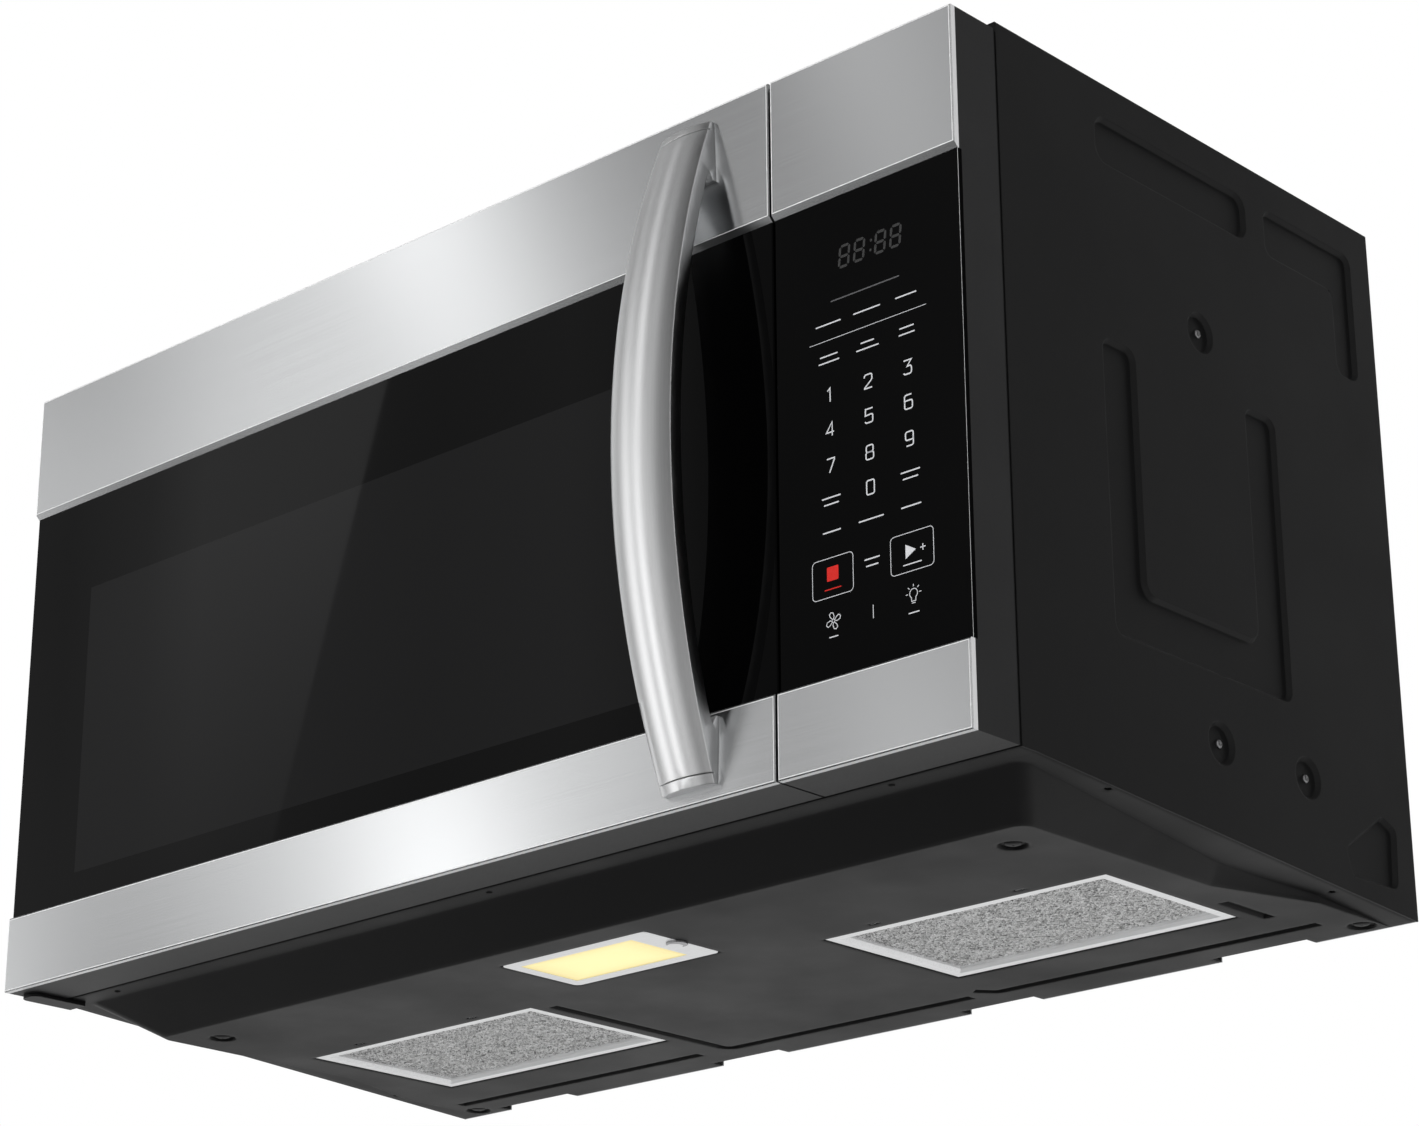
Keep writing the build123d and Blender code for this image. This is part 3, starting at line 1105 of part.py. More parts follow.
with BuildPart() as door_back_cover:
    with BuildSketch(front_plane(COVER_FRONT)):
        area(inset(DOOR_X, PLATE_INSET), inset(FACE_Z, PLATE_INSET))
        area(inset(CHOKE_IN_X, COVER_LAP), inset(CHOKE_IN_Z, COVER_LAP), mode=Mode.SUBTRACT)
        for hook_z in HOOK_Z:
            area(SLOT_X, hook_slot_z(hook_z), mode=Mode.SUBTRACT)
    extrude(amount=-COVER_THICKNESS)
    with BuildSketch(front_plane(DOOR_BACK)):
        area(CHOKE_IN_X, CHOKE_IN_Z)
        area(inset(CHOKE_IN_X, COVER_LAP), inset(CHOKE_IN_Z, COVER_LAP), mode=Mode.SUBTRACT)
    extrude(amount=-COVER_CROWN)
save(door_back_cover, "door_back_cover")

# ---- Latch: one upright bar with two hooks, sliding up against its spring ----
LATCH_X_SPAN = (LATCH_X - LATCH_THICKNESS / 2, LATCH_X + LATCH_THICKNESS / 2)
LATCH_BAR_X = (LATCH_X - LATCH_BAR_WIDTH / 2, LATCH_X + LATCH_BAR_WIDTH / 2)
LATCH_BAR_Y = (COVER_FRONT - RUN_GAP - LATCH_BAR_DEPTH, COVER_FRONT - RUN_GAP)
LATCH_BAR_Z = (HOOK_Z[0] - HOOK_HEIGHT, HOOK_Z[1] + HOOK_HEIGHT)
HOOK_TIP = PLATE_Y + HOOK_REACH
with BuildPart() as latch_hook:
    block(LATCH_BAR_X, LATCH_BAR_Y, LATCH_BAR_Z)
    block(
        inset(LATCH_BAR_X, LATCH_THICKNESS / 2),
        (LATCH_BAR_Y[0], LATCH_BAR_Y[0] + LATCH_BAR_DEPTH / 2),
        inset(LATCH_BAR_Z, HOOK_HEIGHT * 2),
        mode=Mode.SUBTRACT,
    )
    for hook_z in HOOK_Z:
        low, high = hook_z - HOOK_HEIGHT / 2, hook_z + HOOK_HEIGHT / 2
        with BuildSketch(side_plane(LATCH_X_SPAN[0])):
            with BuildLine():
                Polyline(
                    (LATCH_BAR_Y[1], low),
                    (HOOK_TIP - 2 * HOOK_TOOTH, low),
                    (HOOK_TIP - 2 * HOOK_TOOTH, low - HOOK_TOOTH),
                    (HOOK_TIP - HOOK_TOOTH, low - HOOK_TOOTH),
                    (HOOK_TIP, low + HOOK_TOOTH / 2),
                    (HOOK_TIP, high),
                    (LATCH_BAR_Y[1], high),
                    close=True,
                )
            make_face()
        extrude(amount=LATCH_THICKNESS)
save(latch_hook, "latch_hook")

# ---- Latch board behind the front plate, with its switches ----
SWITCH = (10.0, 28.0, 16.0)
BOARD_X = (LATCH_X + SWITCH[0] / 2, LATCH_X + SWITCH[0] / 2 + 3.0)
BOARD_DEPTH = 52.0
BOARD_Z = (HOOK_Z[0] - 40.0, HOOK_Z[1] + 30.0)
PLUNGER = 3.0
PLUNGER_REACH = 2.5
PLUNGER_TRAVEL = 1.0
PLUNGER_BORE_GAP = 0.1
SWITCH_FRONT = HOOK_TIP + RUN_GAP + PLUNGER_REACH
SWITCH_X = (BOARD_X[0] - SWITCH[0], BOARD_X[0])
FOOT_WIDTH = 12.0
FOOT_THICKNESS = 2.0
with BuildPart() as latch_board:
    block(BOARD_X, (FRAME_BACK, FRAME_BACK + BOARD_DEPTH), BOARD_Z)
    block((BOARD_X[0], BOARD_X[1] + FOOT_WIDTH), (FRAME_BACK, FRAME_BACK + FOOT_THICKNESS), BOARD_Z)
save(latch_board, "latch_board")


def switch_z(hook_z):
    """Height span of the switch behind one hook."""
    return (hook_z - SWITCH[2] / 2, hook_z + SWITCH[2] / 2)


PLUNGER_POCKET = PLUNGER / 2 + PLUNGER_BORE_GAP
PLUNGER_TAIL = 4.0
with BuildPart() as door_switches:
    for hook_z in HOOK_Z:
        block(SWITCH_X, (SWITCH_FRONT, SWITCH_FRONT + SWITCH[1]), switch_z(hook_z))
        block(
            (LATCH_X - PLUNGER_POCKET, LATCH_X + PLUNGER_POCKET),
            (SWITCH_FRONT, SWITCH_FRONT + PLUNGER_TAIL + PLUNGER_TRAVEL + RUN_GAP),
            (hook_z - PLUNGER_POCKET, hook_z + PLUNGER_POCKET),
            mode=Mode.SUBTRACT,
        )
save(door_switches, "door_switches")

for hook_z, place in zip(HOOK_Z, ("lower", "upper")):
    with BuildPart() as plunger:
        block(
            (LATCH_X - PLUNGER / 2, LATCH_X + PLUNGER / 2),
            (SWITCH_FRONT - PLUNGER_REACH, SWITCH_FRONT + PLUNGER_TAIL),
            (hook_z - PLUNGER / 2, hook_z + PLUNGER / 2),
        )
    save(plunger, f"{place}_switch_plunger")

# ---- Door hinges: an upper and a lower leaf with upright pins ----
LEAF_Y = (HINGE_Y - HINGE_INSET_Y, STRIP_BACK)
UPPER_LEAF_Z = (TOP_INNER - LEAF_THICKNESS, TOP_INNER)
LOWER_LEAF_Z = (FACE_BOTTOM - LEAF_THICKNESS, FACE_BOTTOM)

with BuildPart() as door_hinges:
    for leaf_z in (UPPER_LEAF_Z, LOWER_LEAF_Z):
        with BuildSketch(Plane.XY.offset(leaf_z[0])) as outline:
            area(LEAF_X, LEAF_Y)
            fillet(outline.vertices().group_by(Axis.Y)[0], radius=HINGE_INSET_X - SHEET)
        extrude(amount=LEAF_THICKNESS)
    block(
        (-WIDTH, 0),
        (FACE_Y, PLATE_Y),
        (FACE_BOTTOM - LEAF_GAP, FACE_BOTTOM),
        mode=Mode.SUBTRACT,
    )
    with BuildSketch(Plane.XY.offset(LOWER_LEAF_Z[0])):
        with Locations((HINGE_X, HINGE_Y)):
            Circle(PIN_RADIUS)
    extrude(amount=LEAF_THICKNESS + PIN_LENGTH)
    with BuildSketch(Plane.XY.offset(UPPER_LEAF_Z[1])):
        with Locations((HINGE_X, HINGE_Y)):
            Circle(PIN_RADIUS)
    extrude(amount=-(UPPER_LEAF_Z[1] - FACE_TOP + PIN_LENGTH))
save(door_hinges, "door_hinges")

# ---- Handle: a bow on two feet, crowned in front ----
HANDLE_HALF_WIDTH = HANDLE_WIDTH / 2
SPAN_MIDDLE = (HANDLE_TOP + HANDLE_BOTTOM) / 2
FRONT_END = 6.0  # how far the front skin stands off at its two tips
BOW_RISE = HANDLE_REACH - FRONT_END
BOW_RADIUS = ((HANDLE_TOP - HANDLE_BOTTOM) ** 2 / 4 + BOW_RISE**2) / (2 * BOW_RISE)
BOW_CENTRE_Y = FACE_Y - HANDLE_REACH + BOW_RADIUS

with BuildPart() as handle_bar:
    # side outline: front arc and inner arc, joined by the two feet
    with BuildSketch(side_plane(HANDLE_X - HANDLE_HALF_WIDTH)):
        with BuildLine():
            bottom_tip = (FACE_Y - FRONT_END, HANDLE_BOTTOM)
            top_tip = (FACE_Y - FRONT_END, HANDLE_TOP)
            foot_top, foot_bottom = HANDLE_TOP - HANDLE_FOOT, HANDLE_BOTTOM + HANDLE_FOOT
            inner_top = (FACE_Y - 3 * HANDLE_LIP, foot_top)
            inner_bottom = (FACE_Y - 3 * HANDLE_LIP, foot_bottom)
            ThreePointArc(bottom_tip, (FACE_Y - HANDLE_REACH, SPAN_MIDDLE), top_tip)
            Polyline(
                top_tip,
                (FACE_Y, HANDLE_TOP),
                (FACE_Y, foot_top),
                (FACE_Y - HANDLE_LIP, foot_top),
                (FACE_Y - 2 * HANDLE_LIP, foot_top + HANDLE_NOTCH),
                inner_top,
            )
            inner_middle = (FACE_Y - HANDLE_REACH + HANDLE_SECTION, SPAN_MIDDLE)
            ThreePointArc(inner_top, inner_middle, inner_bottom)
            Polyline(
                inner_bottom,
                (FACE_Y - 2 * HANDLE_LIP, foot_bottom - HANDLE_NOTCH),
                (FACE_Y - HANDLE_LIP, foot_bottom),
                (FACE_Y, foot_bottom),
                (FACE_Y, HANDLE_BOTTOM),
                bottom_tip,
            )
        make_face()
    extrude(amount=HANDLE_WIDTH)
    # seen from the front the bow narrows a little towards its ends
    with BuildSketch(front_plane(FACE_Y)):
        with BuildLine():
            end_half = HANDLE_END_WIDTH / 2
            ThreePointArc(
                (HANDLE_X - end_half, HANDLE_BOTTOM),
                (HANDLE_X - HANDLE_HALF_WIDTH, SPAN_MIDDLE),
                (HANDLE_X - end_half, HANDLE_TOP),
            )
            Line((HANDLE_X - end_half, HANDLE_TOP), (HANDLE_X + end_half, HANDLE_TOP))
            ThreePointArc(
                (HANDLE_X + end_half, HANDLE_TOP),
                (HANDLE_X + HANDLE_HALF_WIDTH, SPAN_MIDDLE),
                (HANDLE_X + end_half, HANDLE_BOTTOM),
            )
            Line((HANDLE_X + end_half, HANDLE_BOTTOM), (HANDLE_X - end_half, HANDLE_BOTTOM))
        make_face()
    extrude(amount=HANDLE_REACH + 1, mode=Mode.INTERSECT)
    # the front skin is crowned across its width, all along the bow
    with BuildSketch(Plane.XY.offset(SPAN_MIDDLE)):
        with BuildLine():
            left, right = HANDLE_X - HANDLE_HALF_WIDTH, HANDLE_X + HANDLE_HALF_WIDTH
            crest = FACE_Y - HANDLE_REACH
            ThreePointArc((left, crest + HANDLE_CROWN), (HANDLE_X, crest), (right, crest + HANDLE_CROWN))
            Polyline(
                (left, crest + HANDLE_CROWN),
                (left, BOW_CENTRE_Y - BOW_RADIUS / 2),
                (right, BOW_CENTRE_Y - BOW_RADIUS / 2),
                (right, crest + HANDLE_CROWN),
            )
        make_face()
    bow_axis = Axis((HANDLE_X, BOW_CENTRE_Y, SPAN_MIDDLE), (1, 0, 0))
    revolve(axis=bow_axis, mode=Mode.INTERSECT)
    for groove_z in (HANDLE_BOTTOM + HANDLE_CAP, HANDLE_TOP - HANDLE_CAP - CAP_GROOVE):
        block(
            (HANDLE_X - HANDLE_HALF_WIDTH, HANDLE_X + HANDLE_HALF_WIDTH),
            (FACE_Y - HANDLE_REACH, FACE_Y - CAP_CORE),
            (groove_z, groove_z + CAP_GROOVE),
            mode=Mode.SUBTRACT,
        )
    with BuildSketch(front_plane(FACE_Y)):
        with Locations(TOP_SCREW, BOTTOM_SCREW):
            Circle(HANDLE_SCREW_RADIUS + PIN_CLEARANCE)
    extrude(amount=FRONT_END * 0.8, mode=Mode.SUBTRACT)
save(handle_bar, "handle_bar")

SCREW_HEAD_HEIGHT = 2.5
with BuildPart() as handle_screws:
    with BuildSketch(front_plane(PLATE_BACK)):
        with Locations(TOP_SCREW, BOTTOM_SCREW):
            Circle(SCREW_HEAD)
    extrude(amount=-SCREW_HEAD_HEIGHT)
    with BuildSketch(front_plane(PLATE_BACK)):
        with Locations(TOP_SCREW, BOTTOM_SCREW):
            Circle(HANDLE_SCREW_RADIUS)
    extrude(amount=PLATE_BACK - FACE_Y + FRONT_END * 0.75)
save(handle_screws, "handle_screws")

# ---- Control panel: carrier, glass, display and control board ----
DISPLAY_X = inset(PANEL_X, 27.2, 23.5)
DISPLAY_Z = (GLASS_Z[1] - 49.0, GLASS_Z[1] - 18.0)
BOARD_Y = GLASS_BACK + 12.0
CIRCUIT_THICKNESS = 1.6
CIRCUIT_X = inset(PANEL_X, 8.2, 8.5)
CIRCUIT_Z = inset(GLASS_Z, 33.3, 6.0)
POST_RADIUS = 3.0
POST_INSET = 5.0
POSTS_X = inset(CIRCUIT_X, POST_INSET)
POSTS_Z = inset(CIRCUIT_Z, POST_INSET)
POSTS = tuple((post_x, post_z) for post_x in POSTS_X for post_z in POSTS_Z)
with BuildPart() as panel_frame:
    add(carrier(PANEL_X))
    # a stepped-in foot reaches the front plate, because the panel is fixed to it
    with BuildSketch(front_plane(DOOR_BACK)):
        area(inset(PANEL_X, SKIRT_STEP), inset(FACE_Z, SKIRT_STEP))
        area(inset(PANEL_X, SKIRT), inset(FACE_Z, SKIRT), mode=Mode.SUBTRACT)
    extrude(amount=-DOOR_GAP)
    with BuildSketch(front_plane(GLASS_BACK)):
        area(inset(DISPLAY_X, -FIT), inset(DISPLAY_Z, -FIT))
    extrude(amount=-FLANGE, mode=Mode.SUBTRACT)
    with BuildSketch(front_plane(BOARD_Y)):
        with Locations(*POSTS):
            Circle(POST_RADIUS)
    extrude(amount=BOARD_Y - FLANGE_BACK)
save(panel_frame, "panel_frame")

with BuildPart() as panel_glass:
    with BuildSketch(front_plane(GLASS_Y)):
        area(PANEL_X, inset(GLASS_Z, FIT / 2))
    extrude(amount=-GLASS_THICKNESS)
    chamfer(panel_glass.faces().sort_by(Axis.Y)[0].edges().filter_by(Axis.Z), length=BAND_EDGE)
save(panel_glass, "panel_glass")

with BuildPart() as display_module:
    block(DISPLAY_X, (GLASS_BACK, BOARD_Y), DISPLAY_Z)
save(display_module, "display_module")

RELAY = (22.0, 15.0, 18.0)
RELAY_X = sum(CIRCUIT_X) / 2
RELAY_ROWS_Z = (140.0, 180.0)
with BuildPart() as control_board:
    block(CIRCUIT_X, (BOARD_Y, BOARD_Y + CIRCUIT_THICKNESS), CIRCUIT_Z)
    relay_y = BOARD_Y + CIRCUIT_THICKNESS + RELAY[1] / 2
    with Locations((RELAY_X, relay_y, RELAY_ROWS_Z[1])):
        with GridLocations(1.4 * RELAY[0], 0, 2, 1):
            Box(*RELAY)
    with Locations((RELAY_X, relay_y, RELAY_ROWS_Z[0])):
        Box(2 * RELAY[0], RELAY[1], RELAY[2])
save(control_board, "control_board")

# ---- Grease filters: channel frames with a mesh, tilting about their rear lip ----
FRAME_BASE = 0.4
CHANNEL = 1.2
LIP_Z = PAN_SHEET + RUN_GAP
for side, place in ((1, "right"), (-1, "left")):
    x_span = FILTER_X if side > 0 else (-FILTER_X[1], -FILTER_X[0])
    inner_x = inset(x_span, FILTER_BORDER)
    inner_y = inset(FILTER_Y, FILTER_BORDER)
    with BuildPart() as filter_frame:
        block(x_span, FILTER_Y, (FRAME_BASE, FRAME_BASE + FILTER_HEIGHT))
        block(inner_x, inner_y, (0, 2 * FILTER_HEIGHT), mode=Mode.SUBTRACT)
        # the lower inner edge is rolled back, and the channel above it holds the mesh
        low_edges = filter_frame.faces().sort_by(Axis.Z)[0].inner_wires()[0].edges()
        chamfer(low_edges, length=FILTER_CHAMFER)
        mesh_z = (FRAME_BASE + MESH_RECESS, FRAME_BASE + MESH_RECESS + MESH_THICKNESS)
        block(inset(inner_x, -CHANNEL), inset(inner_y, -CHANNEL), mesh_z, mode=Mode.SUBTRACT)
        lip_y = (FILTER_Y[1] - CHANNEL, FILTER_Y[1] + FILTER_GAP + FILTER_LIP)
        block(inner_x, lip_y, (LIP_Z, LIP_Z + CHANNEL))
    save(filter_frame, f"{place}_filter_frame")
    with BuildPart() as filter_mesh:
        block(inset(inner_x, -CHANNEL), inset(inner_y, -CHANNEL), mesh_z)
    save(filter_mesh, f"{place}_filter_mesh")

# ---- Cooktop lamp: cover plate, lens, box and light board ----
PLATE_THICKNESS = PAN_SHEET
LAMP_PLATE_CORNER = 4.0
LAMP_SCREW_RADIUS = 4.5
LAMP_SCREW_HEIGHT = 1.2
LAMP_FLANGE = 8.0
LENS_SHIFT = -5.0  # the lens sits to the left, clear of the screw
LENS_X = (LENS_SHIFT - LAMP_LENS[0] / 2, LENS_SHIFT + LAMP_LENS[0] / 2)
LENS_Y = (LAMP_Y - LAMP_LENS[1] / 2, LAMP_Y + LAMP_LENS[1] / 2)
LENS_LIP = 3.0
LENS_THICKNESS = 3.0
LENS_RECESS = 0.3
with BuildPart() as lamp_cover:
    with BuildSketch(Plane.XY) as outline:
        area(LAMP_X_SPAN, LAMP_Y_SPAN)
        fillet(outline.vertices(), radius=LAMP_PLATE_CORNER)
        area(inset(LENS_X, -FIT / 2), inset(LENS_Y, -FIT / 2), mode=Mode.SUBTRACT)
    extrude(amount=PLATE_THICKNESS)
    with BuildSketch(Plane.XY):
        with Locations((LAMP_SCREW_X, LAMP_Y)):
            Circle(LAMP_SCREW_RADIUS)
    extrude(amount=-LAMP_SCREW_HEIGHT)
save(lamp_cover, "lamp_cover")

with BuildPart() as lamp_lens:
    block(LENS_X, LENS_Y, (LENS_RECESS, PLATE_THICKNESS))
    block(
        inset(LENS_X, -LENS_LIP),
        inset(LENS_Y, -LENS_LIP),
        (PLATE_THICKNESS, PLATE_THICKNESS + LENS_THICKNESS),
    )
save(lamp_lens, "lamp_lens")

LAMP_BOX_X = inset(LENS_X, -LENS_LIP - FIT - SHEET)
LAMP_BOX_Y = inset(LENS_Y, -LENS_LIP - FIT - SHEET)
with BuildPart() as lamp_housing:
    block(LAMP_BOX_X, LAMP_BOX_Y, (PAN_SHEET, PAN_SHEET + LAMP_BOX_HEIGHT))
    block(
        inset(LAMP_X_SPAN, -LAMP_FLANGE),
        inset(LAMP_Y_SPAN, -LAMP_FLANGE / 2),
        (PAN_SHEET, PAN_SHEET + SHEET),
    )
    block(
        inset(LAMP_BOX_X, SHEET),
        inset(LAMP_BOX_Y, SHEET),
        (PAN_SHEET, PAN_SHEET + LAMP_BOX_HEIGHT - SHEET),
        mode=Mode.SUBTRACT,
    )
save(lamp_housing, "lamp_housing")

LAMP_CEILING = PAN_SHEET + LAMP_BOX_HEIGHT - SHEET
LIGHT_BOARD_MARGIN = 4.0
DIODE = (5.0, 5.0, 2.0)
DIODE_PITCH = 14.0
with BuildPart() as cooktop_lamp:
    board_x = inset(LENS_X, LIGHT_BOARD_MARGIN)
    board_y = inset(LENS_Y, LIGHT_BOARD_MARGIN)
    block(board_x, board_y, (LAMP_CEILING - CIRCUIT_THICKNESS, LAMP_CEILING))
    with Locations((LENS_SHIFT, LAMP_Y, LAMP_CEILING - CIRCUIT_THICKNESS - DIODE[2] / 2)):
        with GridLocations(DIODE_PITCH, DIODE_PITCH, 5, 2):
            Box(*DIODE)
save(cooktop_lamp, "cooktop_lamp")
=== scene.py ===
import json
import math
import random

import bmesh
import bpy
from mathutils import Matrix, Vector


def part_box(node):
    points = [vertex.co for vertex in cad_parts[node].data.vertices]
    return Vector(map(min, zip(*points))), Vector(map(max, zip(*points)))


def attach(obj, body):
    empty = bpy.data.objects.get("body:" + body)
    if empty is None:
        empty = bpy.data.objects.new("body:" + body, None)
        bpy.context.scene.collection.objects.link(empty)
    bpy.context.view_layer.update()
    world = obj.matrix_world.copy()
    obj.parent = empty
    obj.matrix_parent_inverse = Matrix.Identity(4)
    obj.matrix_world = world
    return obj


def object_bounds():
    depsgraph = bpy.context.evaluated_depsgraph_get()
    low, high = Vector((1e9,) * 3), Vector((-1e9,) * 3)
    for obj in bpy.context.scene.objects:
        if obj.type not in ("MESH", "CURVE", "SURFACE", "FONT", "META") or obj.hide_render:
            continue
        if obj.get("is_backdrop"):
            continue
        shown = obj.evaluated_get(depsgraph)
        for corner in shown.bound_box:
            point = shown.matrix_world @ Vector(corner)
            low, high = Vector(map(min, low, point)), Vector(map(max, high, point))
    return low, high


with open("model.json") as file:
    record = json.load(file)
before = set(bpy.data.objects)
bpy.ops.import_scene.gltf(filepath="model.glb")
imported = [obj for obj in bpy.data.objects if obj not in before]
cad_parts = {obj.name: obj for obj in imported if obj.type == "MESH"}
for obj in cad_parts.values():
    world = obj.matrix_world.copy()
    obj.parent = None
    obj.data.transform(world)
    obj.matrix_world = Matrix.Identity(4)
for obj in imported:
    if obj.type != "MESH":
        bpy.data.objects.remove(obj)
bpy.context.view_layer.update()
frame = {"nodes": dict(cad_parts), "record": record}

# An over-the-range microwave around its imported CAD solids: finishes, printed marks, screw heads, painted
# highlight rims and mesh foil, and a studio. Pieces are drawn in millimetres, as in the CAD, and stored in
# metres.
MM = 0.001
NODES = frame["nodes"]
scene = bpy.context.scene


# ---------------------------------------------------------------- node helpers
class Shader:
    """One procedural material: a Principled shader and the nodes that feed it."""

    def __init__(self, name, color=(0.5, 0.5, 0.5), rough=0.5, metal=0.0, **sockets):
        self.mat = bpy.data.materials.new(name)
        self.mat.use_nodes = True
        self.nodes = self.mat.node_tree.nodes
        self.links = self.mat.node_tree.links
        self.bsdf = self.nodes["Principled BSDF"]
        self.put("Base Color", (*color, 1.0))
        self.put("Roughness", rough)
        self.put("Metallic", metal)
        for key, value in sockets.items():
            self.put(key.replace("_", " "), value)
        self.coords = self.nodes.new("ShaderNodeTexCoord").outputs["Object"]

    def put(self, socket, value):
        """Set a socket of the shader, or link a node's output to it."""
        if isinstance(value, bpy.types.NodeSocket):
            self.links.new(value, self.bsdf.inputs[socket])
        else:
            self.bsdf.inputs[socket].default_value = value

    def node(self, kind, inputs=(), **settings):
        """Add a node; inputs are values or sockets by key, settings are its attributes."""
        made = self.nodes.new(kind)
        for key, value in settings.items():
            setattr(made, key, value)
        for key, value in dict(inputs).items():
            if isinstance(value, bpy.types.NodeSocket):
                self.links.new(value, made.inputs[key])
            else:
                made.inputs[key].default_value = value
        return made

    def stretched(self, scale):
        """Texture coordinates stretched by three factors."""
        return self.node("ShaderNodeMapping", {"Vector": self.coords, "Scale": scale}).outputs[0]

    def noise(self, scale, detail=2.0, rough=0.5, stretch=None):
        """Noise from 0 to 1, with its scale along each axis multiplied by stretch."""
        vector = self.stretched(stretch) if stretch else self.coords
        inputs = {"Vector": vector, "Scale": scale, "Detail": detail, "Roughness": rough}
        return self.node("ShaderNodeTexNoise", inputs).outputs["Fac"]

    def cells(self, scale, output="Distance"):
        """Irregular cells: the distance from their middles, or a random colour for each."""
        return self.node("ShaderNodeTexVoronoi", {"Vector": self.coords, "Scale": scale}).outputs[output]

    def cell_greys(self, scale):
        """A random grey for each irregular cell."""
        return self.grey(self.cells(scale, "Color"))

    def grey(self, color):
        """The grey of a colour."""
        return self.node("ShaderNodeRGBToBW", {"Color": color}).outputs[0]

    def ramp(self, source, *stops):
        """Colours by position; each stop is (position, grey) or (position, (r, g, b))."""
        made = self.node("ShaderNodeValToRGB", {"Fac": source})
        elements = made.color_ramp.elements
        while len(elements) < len(stops):
            elements.new(0.5)
        for element, (place, value) in zip(elements, stops):
            element.position = place
            rgb = value if isinstance(value, tuple) else (value, value, value)
            element.color = (*rgb, 1.0)
        return made.outputs["Color"]

    def spread(self, source, low, high, span=(0.0, 1.0)):
        """A value from low to high, as the source goes over its span."""
        inputs = {"Value": source, "From Min": span[0], "From Max": span[1], "To Min": low, "To Max": high}
        return self.node("ShaderNodeMapRange", inputs).outputs["Result"]

    def math(self, operation, first, second=0.0):
        """The result of a math node."""
        made = self.node("ShaderNodeMath", operation=operation)
        for index, value in enumerate((first, second)):
            if isinstance(value, bpy.types.NodeSocket):
                self.links.new(value, made.inputs[index])
            else:
                made.inputs[index].default_value = value
        return made.outputs[0]

    def times(self, first, second):
        """The product of two values."""
        return self.math("MULTIPLY", first, second)

    def axes(self, vector=None):
        """The three parts of a vector, or else of the place on the object."""
        split = self.node("ShaderNodeSeparateXYZ", {"Vector": vector or self.coords})
        return split.outputs[0], split.outputs[1], split.outputs[2]

    def inside(self, value, low, high):
        """1 between two limits, 0 outside."""
        return self.times(self.math("GREATER_THAN", value, low), self.math("LESS_THAN", value, high))

    def blend(self, factor, first, second):
        """The first colour where the factor is 0, the second where it is 1."""
        made = self.node("ShaderNodeMix", data_type="RGBA")
        for socket, value in ((made.inputs[0], factor), (made.inputs[6], first), (made.inputs[7], second)):
            if isinstance(value, bpy.types.NodeSocket):
                self.links.new(value, socket)
            else:
                socket.default_value = (*value, 1.0) if isinstance(value, tuple) else value
        return made.outputs[2]

    def bump(self, height, strength, distance=0.001, edge=0.0, lean=0.0):
        """Bump from a height; edge rounds the sharp edges, and lean tilts the surface a little towards -X."""
        inputs = {"Height": height, "Strength": strength, "Distance": distance}
        if edge:
            rounding = self.node("ShaderNodeBevel", {"Radius": edge}, samples=4)
            inputs["Normal"] = rounding.outputs["Normal"]
        if lean:
            tilt = self.turned((-lean, 0.0, 0.0))
            tilted = self.node("ShaderNodeVectorMath", {0: inputs["Normal"], 1: tilt}, operation="ADD")
            unit = self.node("ShaderNodeVectorMath", {0: tilted.outputs[0]}, operation="NORMALIZE")
            inputs["Normal"] = unit.outputs[0]
        made = self.node("ShaderNodeBump", inputs)
        self.put("Normal", made.outputs["Normal"])

    def turned(self, direction):
        """A direction of the piece, which turns with it."""
        split = self.node("ShaderNodeCombineXYZ", {"X": direction[0], "Y": direction[1], "Z": direction[2]})
        world = self.node("ShaderNodeVectorTransform", {"Vector": split.outputs[0]})
        world.vector_type, world.convert_from, world.convert_to = "VECTOR", "OBJECT", "WORLD"
        return world.outputs[0]

    def grain(self, direction):
        """Stretch the highlights along one direction of the piece, as brushing across it does."""
        self.put("Tangent", self.turned(direction))


def shades(color, spread):
    """A darker and a lighter shade of a colour."""
    return tuple(c * (1 - spread) for c in color), tuple(min(1.0, c * (1 + spread)) for c in color)


UPRIGHT = (0.0, 0.0, 1.0)
OUTER_X = 0.37  # beyond this, in metres, are only the outer ends of the front


def brushed_steel(
    name, stretch, color=(0.6, 0.607, 0.614), rough=0.22, edge=0.0006, lean=0.0, streak=0.97, end_highlight=None
):
    """Stainless steel with fine parallel scratches, which draw its highlights out upwards.

    Where a colour is given for the ends, the side faces at the outer ends of a band, left and right, take
    that near-white colour with little metal: a painted highlight line.
    """
    s = Shader(name, color, rough, 1.0, Anisotropic=streak)
    fine = s.noise(1.0, 3.0, 0.6, stretch=stretch)
    broad = s.noise(6.0, 2.0)
    tone = s.math("ADD", s.times(fine, 0.75), s.times(broad, 0.25))
    low, high = shades(color, 0.04)
    # the outer end faces turn near white with little metal: a painted highlight line down the front's outer
    # edges
    if end_highlight:
        where = s.node("ShaderNodeTexCoord").outputs
        sideways, across = s.axes(where["Normal"])[0], s.axes(where["Object"])[0]
        outermost = s.math("GREATER_THAN", s.times(across, across), OUTER_X * OUTER_X)
        end = s.times(outermost, s.math("GREATER_THAN", s.times(sideways, sideways), 0.5))
        tone = s.times(s.math("ADD", tone, end), 0.5)
        s.put("Base Color", s.ramp(tone, (0.15, low), (0.35, high), (0.52, high), (0.56, end_highlight)))
        s.put("Metallic", s.spread(end, 1.0, 0.15))
    else:
        s.put("Base Color", s.ramp(tone, (0.3, low), (0.7, high)))
    s.put("Roughness", s.spread(fine, rough - 0.03, rough + 0.04))
    s.bump(fine, 0.012, 0.0002, edge, lean)
    s.grain(UPRIGHT)
    return s.mat


